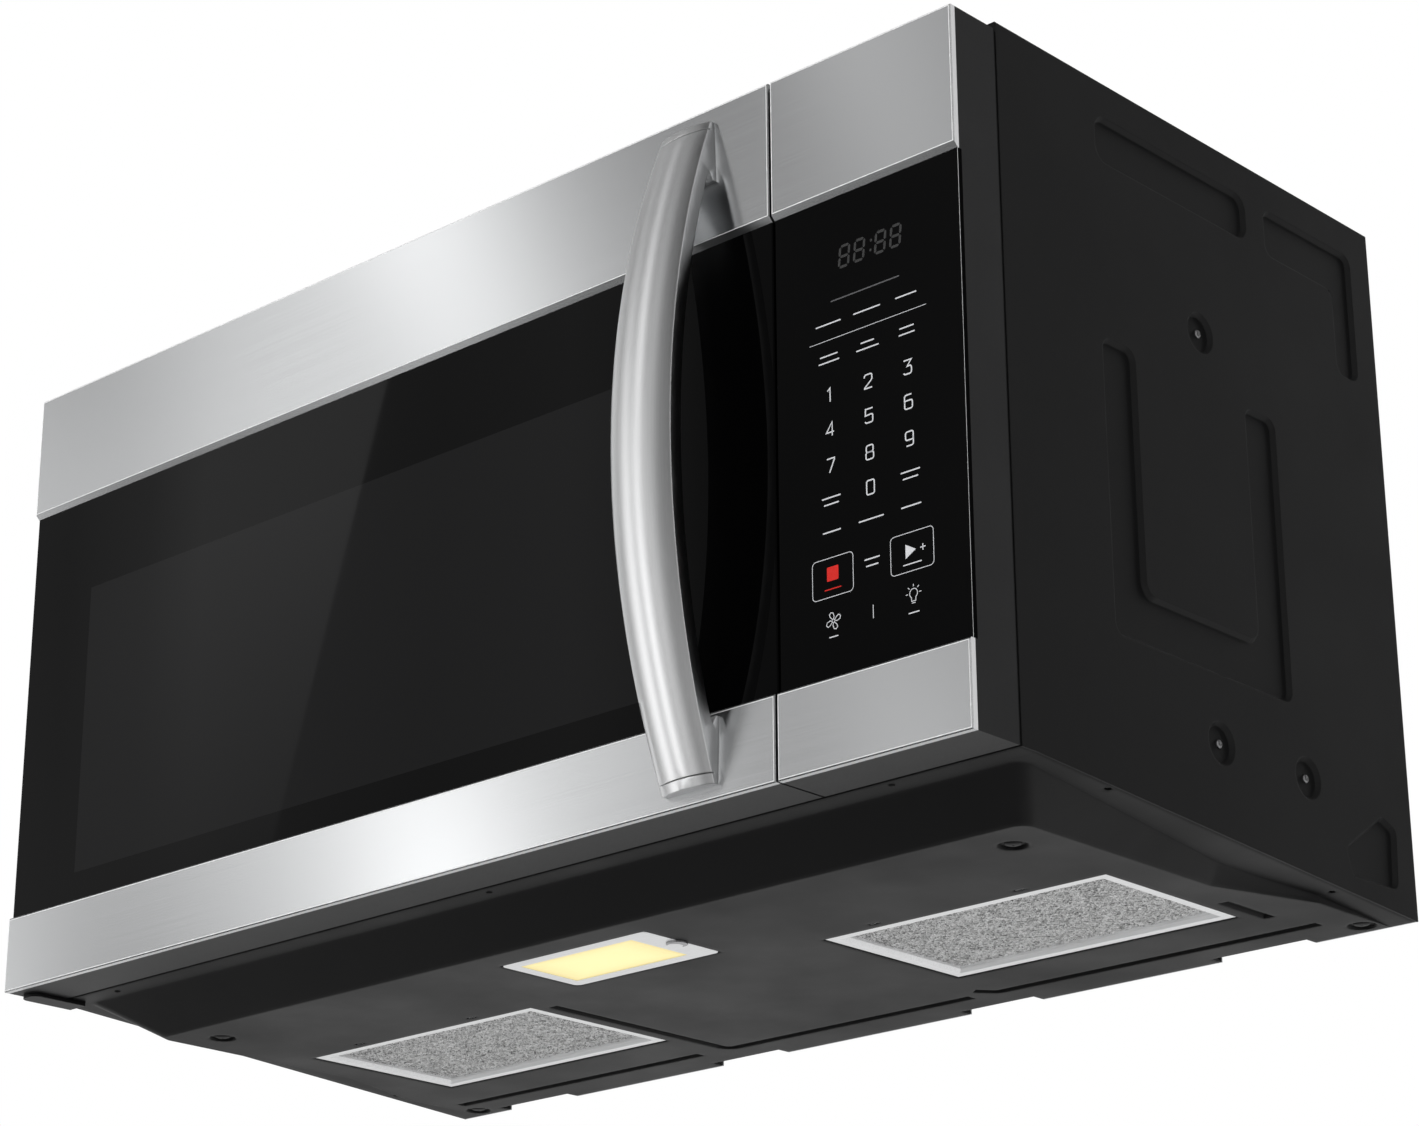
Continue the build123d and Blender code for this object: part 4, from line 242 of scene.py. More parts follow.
def powder_coat(name, color, rough=0.5, level=0.3, edge=0.0009):
    """Satin powder coat with a fine orange peel and faint rubbed patches."""
    s = Shader(name, color, rough, 0.0, Specular_IOR_Level=level)
    peel = s.noise(1400.0, 2.0, 0.55)
    patches = s.noise(9.0, 4.0, 0.6)
    low, high = shades(color, 0.14)
    s.put("Base Color", s.ramp(patches, (0.3, low), (0.72, high)))
    s.put("Roughness", s.spread(patches, rough - 0.05, rough + 0.06, (0.3, 0.7)))
    s.bump(peel, 0.15, 0.0003, edge)
    return s.mat


def moulded(name, color, rough=0.55, level=0.4, grain=2200.0):
    """Fine-grained moulded plastic."""
    s = Shader(name, color, rough, 0.0, Specular_IOR_Level=level)
    leather = s.cells(grain)
    tone = s.noise(24.0, 3.0)
    low, high = shades(color, 0.1)
    s.put("Base Color", s.ramp(tone, (0.3, low), (0.7, high)))
    s.put("Roughness", s.spread(leather, rough - 0.05, rough + 0.05, (0.0, 0.8)))
    s.bump(leather, 0.12, 0.0002)
    return s.mat


def zinc(name):
    """Galvanised sheet with its spangle."""
    s = Shader(name, (0.52, 0.53, 0.54), 0.4, 1.0)
    spangle = s.cell_greys(95.0)
    s.put("Base Color", s.ramp(spangle, (0.1, (0.43, 0.44, 0.45)), (0.9, (0.6, 0.61, 0.62))))
    s.put("Roughness", s.spread(spangle, 0.33, 0.5))
    s.bump(s.noise(500.0, 2.0), 0.08, 0.0002)
    return s.mat


def enamel(name, color=(0.5, 0.5, 0.48)):
    """Pale grey enamel with fine speckles."""
    s = Shader(name, color, 0.32, 0.0, Coat_Weight=0.3, Coat_Roughness=0.12)
    specks = s.cells(420.0)
    s.put("Base Color", s.ramp(specks, (0.0, 0.28), (0.16, color), (1.0, shades(color, 0.08)[1])))
    s.bump(s.noise(240.0, 2.0), 0.06, 0.0004)
    return s.mat


def punched_screen(name):
    """The door's steel screen: rows of small round holes, seen as dark dots."""
    s = Shader(name, (0.3, 0.3, 0.3), 0.4, 0.6)
    x, _, z = s.axes()
    pitch = 0.0026  # metres, over two rows of holes
    rows, columns = (s.math("SINE", s.times(axis, 2 * math.pi / pitch)) for axis in (x, z))
    wave = s.math("ABSOLUTE", s.times(rows, columns))
    holes = s.math("GREATER_THAN", wave, 0.42)
    s.put("Base Color", s.blend(holes, (0.3, 0.3, 0.3), (0.008, 0.008, 0.008)))
    s.bump(wave, 0.3, 0.0004)
    return s.mat


BLACK_GLASS_IOR = 1.15  # low, so that black glass mirrors the studio as faintly as in the photo
WINDOW_X = (-0.320, 0.170)
WINDOW_Z = (0.085, 0.270)


def door_glass_material(name):
    """Black glass with a painted border and a slightly lighter smoked window."""
    s = Shader(name, (0.003, 0.003, 0.0032), 0.02, 0.0, IOR=BLACK_GLASS_IOR)
    x, _, z = s.axes()
    window = s.times(s.inside(x, *WINDOW_X), s.inside(z, *WINDOW_Z))
    smoke = s.ramp(s.noise(3.0, 2.0), (0.3, (0.0075, 0.0075, 0.0078)), (0.7, (0.009, 0.009, 0.0093)))
    s.put("Base Color", s.blend(window, (0.0012, 0.0012, 0.0013), smoke))
    s.put("Roughness", s.spread(s.noise(40.0, 2.0), 0.012, 0.03))
    return s.mat


def panel_glass_material(name):
    """Plain black glass."""
    s = Shader(name, (0.002, 0.002, 0.0021), 0.03, 0.0, IOR=BLACK_GLASS_IOR)
    tone = s.noise(5.0, 2.0)
    s.put("Base Color", s.ramp(tone, (0.3, (0.0012, 0.0012, 0.0013)), (0.7, (0.0018, 0.0018, 0.0019))))
    s.put("Roughness", s.spread(s.noise(60.0, 2.0), 0.02, 0.045))
    return s.mat


def clear_glass(name, tint=(0.93, 0.97, 0.95), rings_from=None):
    """Clear glass, rippled a little, or else moulded in rings; rings_from leads from their middle to 0."""
    s = Shader(name, tint, 0.03, 0.0, IOR=1.46, Transmission_Weight=1.0)
    s.put("Roughness", s.spread(s.noise(30.0, 2.0), 0.02, 0.06))
    if rings_from:
        placed = s.node("ShaderNodeVectorMath", {0: s.coords, 1: rings_from}, operation="ADD").outputs[0]
        inputs = {"Vector": placed, "Scale": 18.0}
        waves = s.node("ShaderNodeTexWave", inputs, wave_type="RINGS", rings_direction="Z")
        s.bump(waves.outputs["Fac"], 0.12, 0.0006)
    else:
        s.bump(s.noise(12.0, 2.0), 0.03, 0.0004)
    return s.mat


def aluminium(name):
    """Bright aluminium with fine lines along x."""
    color = (0.88, 0.885, 0.89)
    s = Shader(name, color, 0.34, 0.3)
    fine = s.noise(1.0, 2.0, stretch=(40.0, 900.0, 900.0))
    s.put("Base Color", s.ramp(fine, (0.3, shades(color, 0.06)[0]), (0.7, shades(color, 0.05)[1])))
    s.put("Roughness", s.spread(fine, 0.3, 0.4))
    s.bump(fine, 0.05, 0.0002)
    return s.mat


def layered_mesh(name):
    """Pressed layers of aluminium mesh, as a grain of dark and near-white spots: painted shade between the
    layers and painted glints on the facets.
    """
    s = Shader(name, (0.5, 0.51, 0.52), 0.38, 0.5)
    facets = s.cell_greys(1150.0)
    pit_shade = s.noise(950.0, 3.0, 0.7)
    tone = s.math("ADD", s.times(facets, 0.6), s.times(pit_shade, 0.4))
    # the spots run from near black to white: painted shade in the pits and painted glints on the facets
    s.put("Base Color", s.ramp(tone, (0.28, 0.2), (0.46, 0.72), (0.62, 1.0)))
    s.put("Roughness", s.spread(facets, 0.28, 0.55))
    s.bump(tone, 0.9, 0.0006)
    return s.mat


LENS_MIDDLE = (-0.005, -0.248)
LENS_HALF = (0.044, 0.023)


def diffuser(name):
    """The lit lens: warm, paler in the middle and deeper towards its edges."""
    s = Shader(name, (0.95, 0.85, 0.5), 0.35, 0.0)
    # the share of the way from the lens's middle to its nearest edge
    shares = (
        s.math("ABSOLUTE", s.math("DIVIDE", s.math("ADD", axis, -middle), half))
        for axis, middle, half in zip(s.axes(), LENS_MIDDLE, LENS_HALF)
    )
    far = s.math("MAXIMUM", *shares)
    warm = s.ramp(
        far,
        (0.0, (1.0, 0.93, 0.42)),
        (0.6, (0.99, 0.9, 0.4)),
        (0.9, (0.9, 0.78, 0.33)),
        (1.0, (0.8, 0.66, 0.24)),
    )
    prisms = s.noise(260.0, 1.0)
    s.put("Base Color", s.ramp(prisms, (0.3, (0.18, 0.15, 0.07)), (0.7, (0.22, 0.19, 0.09))))
    s.put("Emission Color", warm)
    s.bsdf.inputs["Emission Strength"].default_value = 0.82
    s.bump(prisms, 0.2, 0.0003)
    return s.mat


def ink(name, color, glow=0.0):
    """Printed marks, plain, or with a painted glow that brightens their colour."""
    s = Shader(name, color, 0.5, 0.0, Specular_IOR_Level=0.1)
    tone = s.noise(300.0, 2.0)
    shade = s.ramp(tone, (0.3, shades(color, 0.08)[0]), (0.7, color))
    s.put("Base Color", shade)
    if glow:
        s.put("Emission Color", shade)
        s.bsdf.inputs["Emission Strength"].default_value = glow
    return s.mat


def laminate(name):
    """Green circuit board with paler tracks."""
    s = Shader(name, (0.03, 0.14, 0.06), 0.4)
    inputs = {"Vector": s.coords, "Scale": 90.0, "Mortar Size": 0.03}
    tracks = s.node("ShaderNodeTexBrick", inputs).outputs["Fac"]
    s.put("Base Color", s.blend(tracks, (0.02, 0.11, 0.05), (0.06, 0.2, 0.09)))
    s.bump(tracks, 0.1, 0.0002)
    return s.mat


def granules(name):
    """Charcoal grains."""
    s = Shader(name, (0.03, 0.03, 0.03), 0.8)
    grains = s.cells(500.0)
    s.put("Base Color", s.ramp(grains, (0.0, 0.01), (0.7, 0.05)))
    s.bump(grains, 0.8, 0.001)
    return s.mat


def painted_highlight_steel(name, metal):
    """Near-white steel along an edge, a painted highlight: with little metal it is a bright line under any
    light; with full metal it is steel brighter than the bands.
    """
    s = Shader(name, (0.92, 0.925, 0.93), 0.25, metal)
    mottle = s.noise(180.0, 2.0)
    s.put("Base Color", s.ramp(mottle, (0.3, (0.88, 0.885, 0.89)), (0.7, (0.97, 0.975, 0.98))))
    s.put("Roughness", s.spread(mottle, 0.2, 0.32))
    s.bump(mottle, 0.05, 0.0002)
    return s.mat


# ---------------------------------------------------------------- finishes of the CAD nodes
FINISH = {
    # the band steel's outer end faces carry a painted highlight line
    "stainless": brushed_steel("band_steel", (3.0, 900.0, 1400.0), end_highlight=(0.92, 0.92, 0.93)),
    "black_glass": panel_glass_material("panel_black_glass"),
    "case_paint": powder_coat("case_coat", (0.0055, 0.0055, 0.0057), 0.5, 0.2),
    "galvanised": zinc("zinc_sheet"),
    "enamel": enamel("cavity_enamel"),
    "dark_plastic": moulded("dark_moulding", (0.016, 0.016, 0.0165), 0.5, 0.3),
    "pale_plastic": moulded("pale_moulding", (0.72, 0.71, 0.67)),
    "motor_steel": zinc("plated_steel"),
    "fan_plastic": moulded("fan_moulding", (0.05, 0.05, 0.055)),
    "clear_glass": clear_glass("pane_glass"),
    "filter_frame": aluminium("bright_frame"),
    "filter_mesh": layered_mesh("mesh_layers"),
    "lamp_lens": diffuser("lit_lens"),
    "circuit": laminate("board_laminate"),
    "lamp_holder": moulded("lamp_holder_clay", (0.6, 0.57, 0.5)),
    "mica": moulded("mica_sheet", (0.5, 0.42, 0.3), 0.35, grain=700.0),
    "charcoal": granules("charcoal_grains"),
}
# nodes that look different from the rest of their slot
SPECIAL = {
    "door_glass": door_glass_material("door_black_glass"),
    "handle_bar": brushed_steel(
        "handle_steel", (1300.0, 900.0, 5.0), (0.78, 0.785, 0.79), 0.34, edge=0.0008, lean=0.085, streak=0.88
    ),
    "door_screen": punched_screen("screen_punched"),
    "base_plate": powder_coat("pan_coat", (0.0045, 0.0045, 0.0047), 0.52, 0.18, 0.005),
    "turntable_tray": clear_glass("tray_glass", (0.9, 0.96, 0.94), rings_from=(0.075, 0.182, 0.0)),
}
for row in frame["record"]["subparts"]:
    node = NODES[row["node"]]
    finish = SPECIAL.get(row["node"], FINISH[row["material_slot"]])
    node.data.materials.clear()
    node.data.materials.append(finish)

# near white with little metal: painted highlight lines and glints
RIM_HIGHLIGHT = painted_highlight_steel("rim_painted_highlight", 0.15)

# the handle's edges are eased; the easing catches light as real rounding, and its near-white steel adds a
# painted highlight
handle = NODES["handle_bar"]
handle.data.materials.append(painted_highlight_steel("edge_painted_highlight", 1.0))
weld = handle.modifiers.new("weld", "WELD")
weld.merge_threshold = 1e-6
eased = handle.modifiers.new("eased", "BEVEL")
eased.width = 0.001
eased.segments = 3
eased.limit_method = "ANGLE"
eased.angle_limit = math.radians(30)
eased.harden_normals = True
eased.material = 1


# ---------------------------------------------------------------- mesh helpers
def piece(name, bm, body, material, smooth=False):
    """Turn a bmesh in millimetres into a piece that rides on a body."""
    bmesh.ops.remove_doubles(bm, verts=bm.verts, dist=1e-5)
    bmesh.ops.recalc_face_normals(bm, faces=bm.faces)
    mesh = bpy.data.meshes.new(name)
    bmesh.ops.scale(bm, vec=(MM, MM, MM), verts=bm.verts)
    bm.to_mesh(mesh)
    bm.free()
    if smooth:
        mesh.shade_smooth()
    mesh.materials.append(material)
    made = bpy.data.objects.new(name, mesh)
    scene.collection.objects.link(made)
    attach(made, body)
    return made


def prism(bm, points, lift, depth, place):
    """A closed prism over a polygon; place maps (u, v, height) to a point in millimetres."""
    base = [bm.verts.new(place(u, v, lift)) for u, v in points]
    top = [bm.verts.new(place(u, v, lift + depth)) for u, v in points]
    bm.faces.new(base[::-1])
    bm.faces.new(top)
    count = len(points)
    for i in range(count):
        j = (i + 1) % count
        bm.faces.new((base[i], base[j], top[j], top[i]))


SAME_POINT = 1e-4


def ribbon(points, width, closed=False):
    """The quads of a line of constant width through 2-D points, with mitred corners."""
    kept = []
    for point in points:
        if not kept or math.dist(point, kept[-1]) > SAME_POINT:
            kept.append(point)
    if closed and math.dist(kept[0], kept[-1]) < SAME_POINT:
        kept.pop()
    points = kept
    count = len(points)
    sides = []
    for i, (x, y) in enumerate(points):
        before = points[i - 1] if i or closed else None
        after = points[(i + 1) % count] if i < count - 1 or closed else None
        normals = []
        for first, second in ((before, (x, y)), ((x, y), after)):
            if first is None or second is None:
                continue
            dx, dy = second[0] - first[0], second[1] - first[1]
            length = math.hypot(dx, dy)
            normals.append((-dy / length, dx / length))
        nx, ny = sum(n[0] for n in normals), sum(n[1] for n in normals)
        length = math.hypot(nx, ny)
        nx, ny = nx / length, ny / length
        reach = width / 2 / max(0.5, nx * normals[0][0] + ny * normals[0][1])
        sides.append(((x + nx * reach, y + ny * reach), (x - nx * reach, y - ny * reach)))
    quads = []
    for i in range(count if closed else count - 1):
        (a, b), (c, d) = sides[i], sides[(i + 1) % count]
        quads.append((a, c, d, b))
    return quads


def arc(centre, radius, start, end, steps):
    """Points on an arc from one angle to another, in degrees."""
    angles = [math.radians(start + (end - start) * i / steps) for i in range(steps + 1)]
    return [(centre[0] + radius * math.cos(a), centre[1] + radius * math.sin(a)) for a in angles]


def rounded(x0, x1, y0, y1, radius, steps=5):
    """A rectangle with round corners."""
    return (
        arc((x1 - radius, y1 - radius), radius, 0, 90, steps)
        + arc((x0 + radius, y1 - radius), radius, 90, 180, steps)
        + arc((x0 + radius, y0 + radius), radius, 180, 270, steps)
        + arc((x1 - radius, y0 + radius), radius, 270, 360, steps)
    )


# ---------------------------------------------------------------- control panel marks
GLASS_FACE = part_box("panel_glass")[0].y / MM


def on_panel(u, v, height):
    """A point in front of the panel's glass, which faces -Y."""
    return Vector((u, GLASS_FACE - height, v))


LIFT = 0.02  # the print stands this far off the glass, so that they don't flicker
INK_DEPTH = 0.05
# the key print and the red stop print carry a painted glow, which brightens them under any light
PRINT = ink("key_print_painted_glow", (0.62, 0.63, 0.65), 0.25)
DIM_PRINT = ink("dim_print", (0.13, 0.13, 0.135))
RED_PRINT = ink("red_print_painted_glow", (0.55, 0.02, 0.015), 0.35)
SEGMENT = ink("segment_ink", (0.05, 0.05, 0.05))
WINDOW_INK = panel_glass_material("display_tint")

STROKE = 0.75
ICON_LINE = 0.42
THIN_BAR = 0.6
GLYPH_W = 5.0
GLYPH_H = 7.6
GLYPH_ROUND = 1.1


def glyph(digit):
    """Strokes of a plain digit in a box of width GLYPH_W and height GLYPH_H, as (points, closed) lines."""
    w, h, m, r = GLYPH_W, GLYPH_H, GLYPH_H / 2, GLYPH_ROUND
    if digit == "0":
        return [(rounded(0, w, 0, h, r), True)]
    if digit == "1":
        return [([(w * 0.22, h * 0.8), (w * 0.58, h), (w * 0.58, 0)], False)]
    if digit == "2":
        top = [(0, h - 1.6)] + arc((r, h - r), r, 180, 90, 4) + arc((w - r, h - r), r, 90, 0, 4)
        return [(top + [(w, m + 0.9), (w * 0.86, m), (0.1, 0.5), (0.1, 0), (w, 0)], False)]
    if digit == "3":
        top = [(0, h), (w, h), (w * 0.42, m + 0.35)]
        low = arc((w - r - 0.2, m - r + 0.35), r + 0.2, 90, 0, 4) + arc((w - r, r), r, 0, -90, 4)
        return [(top + low + arc((r, r), r, -90, -170, 4), False)]
    if digit == "4":
        return [([(w * 0.78, 0), (w * 0.78, h), (0, h * 0.28), (w, h * 0.28)], False)]
    if digit == "5":
        top = [(w, h), (0.3, h), (0.1, m + 0.3)]
        low = arc((w - r, m - r + 0.6), r, 90, 0, 4) + arc((w - r, r), r, 0, -90, 4)
        return [(top + low + arc((r, r), r, -90, -170, 4), False)]
    if digit == "6":
        stem = [(0, m - 0.4), (0, h - r)] + arc((r, h - r), r, 180, 90, 4) + [(w * 0.9, h)]
        return [(rounded(0, w, 0, m + 0.7, r), True), (stem, False)]
    if digit == "7":
        return [([(0, h), (w, h), (w, h - 0.8), (w * 0.34, 0)], False)]
    if digit == "8":
        return [(rounded(0, w, 0, m + 0.1, r), True), (rounded(0.25, w - 0.25, m + 0.1, h, r), True)]
    stem = [(w, m + 0.4), (w, r)] + arc((w - r, r), r, 0, -90, 4) + [(w * 0.1, 0)]
    return [(rounded(0, w, m - 0.7, h, r), True), (stem, False)]


def fill(bm, points):
    """Print a filled shape on the panel."""
    prism(bm, points, LIFT, INK_DEPTH, on_panel)


def draw(bm, lines, width, shift=(0, 0)):
    """Print lines of one width on the panel, each given as (points, closed)."""
    for points, closed in lines:
        placed = [(shift[0] + x, shift[1] + y) for x, y in points]
        for quad in ribbon(placed, width, closed):
            fill(bm, quad)


def bar(bm, centre_x, centre_z, width, height=STROKE):
    """Print a short plain bar, which stands where the real panel has a word or a line."""
    x0, x1 = centre_x - width / 2, centre_x + width / 2
    z0, z1 = centre_z - height / 2, centre_z + height / 2
    fill(bm, rounded(x0, x1, z0, z1, height * 0.45, 3))


COLUMNS = (291.0, 317.0, 343.0)
FAN = (COLUMNS[0], 97.0)
BULB = (COLUMNS[2], 98.6)
keys = bmesh.new()
for row_z, digits in ((220.0, "123"), (201.0, "456"), (181.0, "789"), (162.0, " 0 ")):
    for column, digit in zip(COLUMNS, digits):
        if digit != " ":
            draw(keys, glyph(digit), STROKE, (column - GLYPH_W / 2, row_z - GLYPH_H / 2))
# rows of words above the digits, with a rule between them
for column, width in zip(COLUMNS, (17.0, 18.0, 14.0)):
    bar(keys, column, 260.0, width)
bar(keys, COLUMNS[1], 250.8, 78.0, 0.3)
for column, widths in zip(COLUMNS, ((12.0, 14.0), (9.0, 15.0), (9.5, 10.5))):
    bar(keys, column, 242.2, widths[0])
    bar(keys, column, 238.6, widths[1])
# words beside and below the 0
for column in (COLUMNS[0], COLUMNS[2]):
    bar(keys, column, 163.6, 12.5)
    bar(keys, column, 160.0, 10.0)
for column, width in zip(COLUMNS, (12.0, 16.5, 13.0)):
    bar(keys, column, 145.0, width)
bar(keys, COLUMNS[1], 123.8, 10.0)
bar(keys, COLUMNS[1], 120.2, 8.0)
# frames of the stop key and the start key
draw(keys, [(rounded(277.5, 304.5, 110.0, 131.0, 2.4), True)], 0.35)
draw(keys, [(rounded(329.0, 356.5, 110.5, 131.0, 2.4), True)], 0.35)
# start: triangle and a plus sign
fill(keys, [(338.6, 117.6), (338.6, 125.2), (345.2, 121.4)])
draw(keys, [([(348.0, 121.4), (351.4, 121.4)], False), ([(349.7, 119.7), (349.7, 123.1)], False)], 0.6)
bar(keys, 342.8, 114.4, 12.0, THIN_BAR)
# fan: four blades round a hub
for turn in range(4):
    angle = math.radians(90 * turn + 12)
    c, s = math.cos(angle), math.sin(angle)
    blade = []
    for u, v in [(0.9, -0.2), (2.2, -0.9), (4.2, -0.6), (4.9, 0.7), (4.1, 1.9), (2.6, 1.6), (1.0, 0.5)]:
        blade.append((FAN[0] + u * c - v * s, FAN[1] + u * s + v * c))
    draw(keys, [(blade, True)], ICON_LINE)
draw(keys, [(arc(FAN, 0.9, 0, 330, 11), True)], 0.4)
# the upright line between fan and lamp
draw(keys, [([(COLUMNS[1], 92.0), (COLUMNS[1], 99.0)], False)], 0.4)
# lamp: bulb, collar and rays
draw(keys, [(arc(BULB, 2.5, -55, 235, 14) + [(341.7, 94.6), (344.3, 94.6)], True)], ICON_LINE)
draw(keys, [([(341.9, 93.6), (344.1, 93.6)], False)], ICON_LINE)
for angle in (0, 45, 90, 135, 180):
    c, s = math.cos(math.radians(angle)), math.sin(math.radians(angle))
    ray = [(BULB[0] + reach * c, BULB[1] + reach * s) for reach in (3.6, 4.9)]
    draw(keys, [(ray, False)], ICON_LINE)
bar(keys, COLUMNS[0], 88.6, 6.0, THIN_BAR)
bar(keys, COLUMNS[2], 88.6, 7.0, THIN_BAR)
piece("key_marks", keys, "chassis", PRINT)

stop = bmesh.new()
fill(stop, rounded(287.2, 294.8, 118.6, 126.2, 0.6))
bar(stop, COLUMNS[0], 114.2, 11.0, THIN_BAR)
piece("stop_mark", stop, "chassis", RED_PRINT)

dim = bmesh.new()
bar(dim, 316.0, 272.0, 46.0, 0.7)
piece("dim_mark", dim, "chassis", DIM_PRINT)

tint = bmesh.new()
prism(tint, rounded(286.0, 352.0, 284.5, 310.5, 0.8), 0.005, 0.01, on_panel)
piece("display_window", tint, "chassis", WINDOW_INK)

# the seven segments of a digit, from end to end in a unit box
SEGMENTS = (
    ((0.0, 1.0), (1.0, 1.0)),
    ((1.0, 1.0), (1.0, 0.5)),
    ((1.0, 0.5), (1.0, 0.0)),
    ((0.0, 0.0), (1.0, 0.0)),
    ((0.0, 0.5), (0.0, 0.0)),
    ((0.0, 1.0), (0.0, 0.5)),
    ((0.0, 0.5), (1.0, 0.5)),
)
DIGIT_W, DIGIT_H, DIGIT_FOOT = 6.2, 11.6, 289.4
SEGMENT_W, SEGMENT_GAP, SLANT = 1.5, 0.35, 0.1
display = bmesh.new()
for left in (299.0, 309.2, 323.4, 333.6):
    for (u0, v0), (u1, v1) in SEGMENTS:
        a = Vector((left + u0 * DIGIT_W, DIGIT_FOOT + v0 * DIGIT_H))
        b = Vector((left + u1 * DIGIT_W, DIGIT_FOOT + v1 * DIGIT_H))
        run = (b - a).normalized()
        side = Vector((-run.y, run.x)) * SEGMENT_W / 2
        a, b = a + run * SEGMENT_GAP, b - run * SEGMENT_GAP
        tip = run * SEGMENT_W / 2
        outline = [a, a + tip + side, b - tip + side, b, b - tip - side, a + tip - side]
        fill(display, [(p.x + (p.y - DIGIT_FOOT) * SLANT, p.y) for p in outline])
# the colon's dots
for z in (292.6, 298.0):
    shift = (z - 289) * SLANT
    fill(display, rounded(319.4 + shift, 320.8 + shift, z - 0.7, z + 0.7, 0.3, 2))
piece("display_segments", display, "chassis", SEGMENT)


# ---------------------------------------------------------------- painted highlights: thin near-white rims round the steel bands' faces
RIM = 0.5
RIM_INSET = 0.6
RIM_PROUD = 0.04
GLASS_LINE = 0.14
# each band with how far its flat face stays off its lower and its upper edge
for body, rows in (
    ("door", (("door_top_band", 3.0, 0.6), ("door_bottom_band", 0.6, 1.2))),
    ("chassis", (("panel_top_band", 3.0, 0.6), ("panel_bottom_band", 0.6, 1.2))),
):
    highlight_rims = bmesh.new()
    for name, low_edge, high_edge in rows:
        low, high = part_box(name)
        x0, x1 = low.x / MM + RIM_INSET + RIM / 2, high.x / MM - RIM_INSET - RIM / 2
        z0, z1 = low.z / MM + low_edge + RIM / 2, high.z / MM - high_edge - RIM / 2
        face = low.y / MM
        for quad in ribbon([(x0, z0), (x1, z0), (x1, z1), (x0, z1)], RIM, True):
            prism(highlight_rims, quad, 0.0, RIM_PROUD, lambda u, v, h: Vector((u, face - h, v)))
    if body == "chassis":
        # a thin painted highlight line down the right edge of the panel's glass
        low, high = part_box("panel_glass")
        x0, x1, face = high.x / MM - GLASS_LINE, high.x / MM, low.y / MM
        z0, z1 = low.z / MM, high.z / MM
        line = [(x0, z0), (x1, z0), (x1, z1), (x0, z1)]
        prism(highlight_rims, line, 0.0, RIM_PROUD, lambda u, v, h: Vector((u, face - h, v)))
    piece(f"{body}_rims", highlight_rims, body, RIM_HIGHLIGHT)


# ---------------------------------------------------------------- screws
def screw_head(bm, place, radius, height, rings=7, spokes=40, cross=(0.42, 0.13)):
    """A pan head, round at its edge; place maps (u, v, height) to a point in millimetres.

    The cross is the length and the width of its recess's arms, as shares of the radius.
    """
    angles = [2 * math.pi * k / spokes for k in range(spokes)]
    arm = cross[0] * radius, cross[1] * radius
    recess = 0.25
    rows = [[bm.verts.new(place(0, 0, height * recess))] * spokes]
    for i in range(1, rings + 1):
        share = i / rings
        r = radius * share
        row = []
        for a in angles:
            u, v = r * math.cos(a), r * math.sin(a)
            h = height * (1 - 0.55 * share**3)
            if (abs(u) < arm[0] and abs(v) < arm[1]) or (abs(v) < arm[0] and abs(u) < arm[1]):
                h *= recess
            row.append(bm.verts.new(place(u, v, h)))
        rows.append(row)
    rows.append([bm.verts.new(place(radius * math.cos(a), radius * math.sin(a), 0)) for a in angles])
    for inner, outer in zip(rows, rows[1:]):
        for k in range(spokes):
            j = (k + 1) % spokes
            corners = [inner[k], outer[k], outer[j], inner[j]]
            unique = list(dict.fromkeys(corners))
            if len(unique) > 2:
                bm.faces.new(unique)


def dome(bm, x, y, z, radius, height, **shape):
    """A plain round head that points down from a place."""
    screw_head(bm, lambda u, v, h: Vector((x + u, y + v, z - h)), radius, height, cross=(0.0, 0.0), **shape)


SCREW_GRAIN = (700.0, 700.0, 700.0)
SCREW_STEEL = brushed_steel("screw_steel", SCREW_GRAIN, (0.45, 0.45, 0.46), 0.4, streak=0.3)
DARK_SCREW = brushed_steel("dark_screw", SCREW_GRAIN, (0.27, 0.27, 0.275), 0.3, streak=0.3)

# in the dimples of the case's sides
CASE_SIDE = 379.5
DIMPLE_FLOOR = CASE_SIDE - 2.5
heads = bmesh.new()
for side in (1, -1):
    for y, z in ((-179.0, 296.0), (-181.0, 61.0), (-101.0, 60.0)):
        screw_head(heads, lambda u, v, h: Vector((side * (DIMPLE_FLOOR + h), y + u, z + v)), 2.5, 1.9)
piece("side_screws", heads, "chassis", DARK_SCREW, smooth=True)

# painted domes on the underside: four in the pan's bumps, and three small ones under the front
BUMP_Z = 1.6
FRONT_Z = 20.0
buttons = bmesh.new()
for x, y in ((311.0, -273.0), (352.0, -14.0)):
    for side in (1, -1):
        dome(buttons, side * x, y, BUMP_Z, 4.6, 1.5)
for x, y in ((292.0, -346.0), (1.0, -345.0), (-327.0, -344.0)):
    dome(buttons, x, y, FRONT_Z, 1.9, 1.0, rings=4, spokes=20)
piece("pan_screws", buttons, "chassis", FINISH["case_paint"], smooth=True)

# the milled rim round the lamp cover's thumb screw
THUMB = (53.5, -249.0)
MILLS = 48
rim = []
for i in range(MILLS):
    r = 6.0 + (0.2 if i % 2 else -0.15)
    a = 2 * math.pi * i / MILLS
    rim.append((THUMB[0] + r * math.cos(a), THUMB[1] + r * math.sin(a)))
thumb = bmesh.new()
prism(thumb, rim, 0.0, 1.1, lambda u, v, h: Vector((u, v, -h)))
piece("thumb_rim", thumb, "chassis", SCREW_STEEL)

# ---------------------------------------------------------------- pressed tabs in front of the filters, near white as painted glints
TAB_Y = -203.0
TAB_OUTLINE = [(-3.4, 0.0), (3.4, 0.0), (2.9, 2.3), (-2.9, 2.3)]
tabs = bmesh.new()
for x in (160.0, 261.0):
    for side in (1, -1):
        prism(tabs, TAB_OUTLINE, 0.25, 0.7, lambda u, v, h: Vector((side * x + u, TAB_Y + v, h)))
piece("lanced_tabs", tabs, "chassis", RIM_HIGHLIGHT)

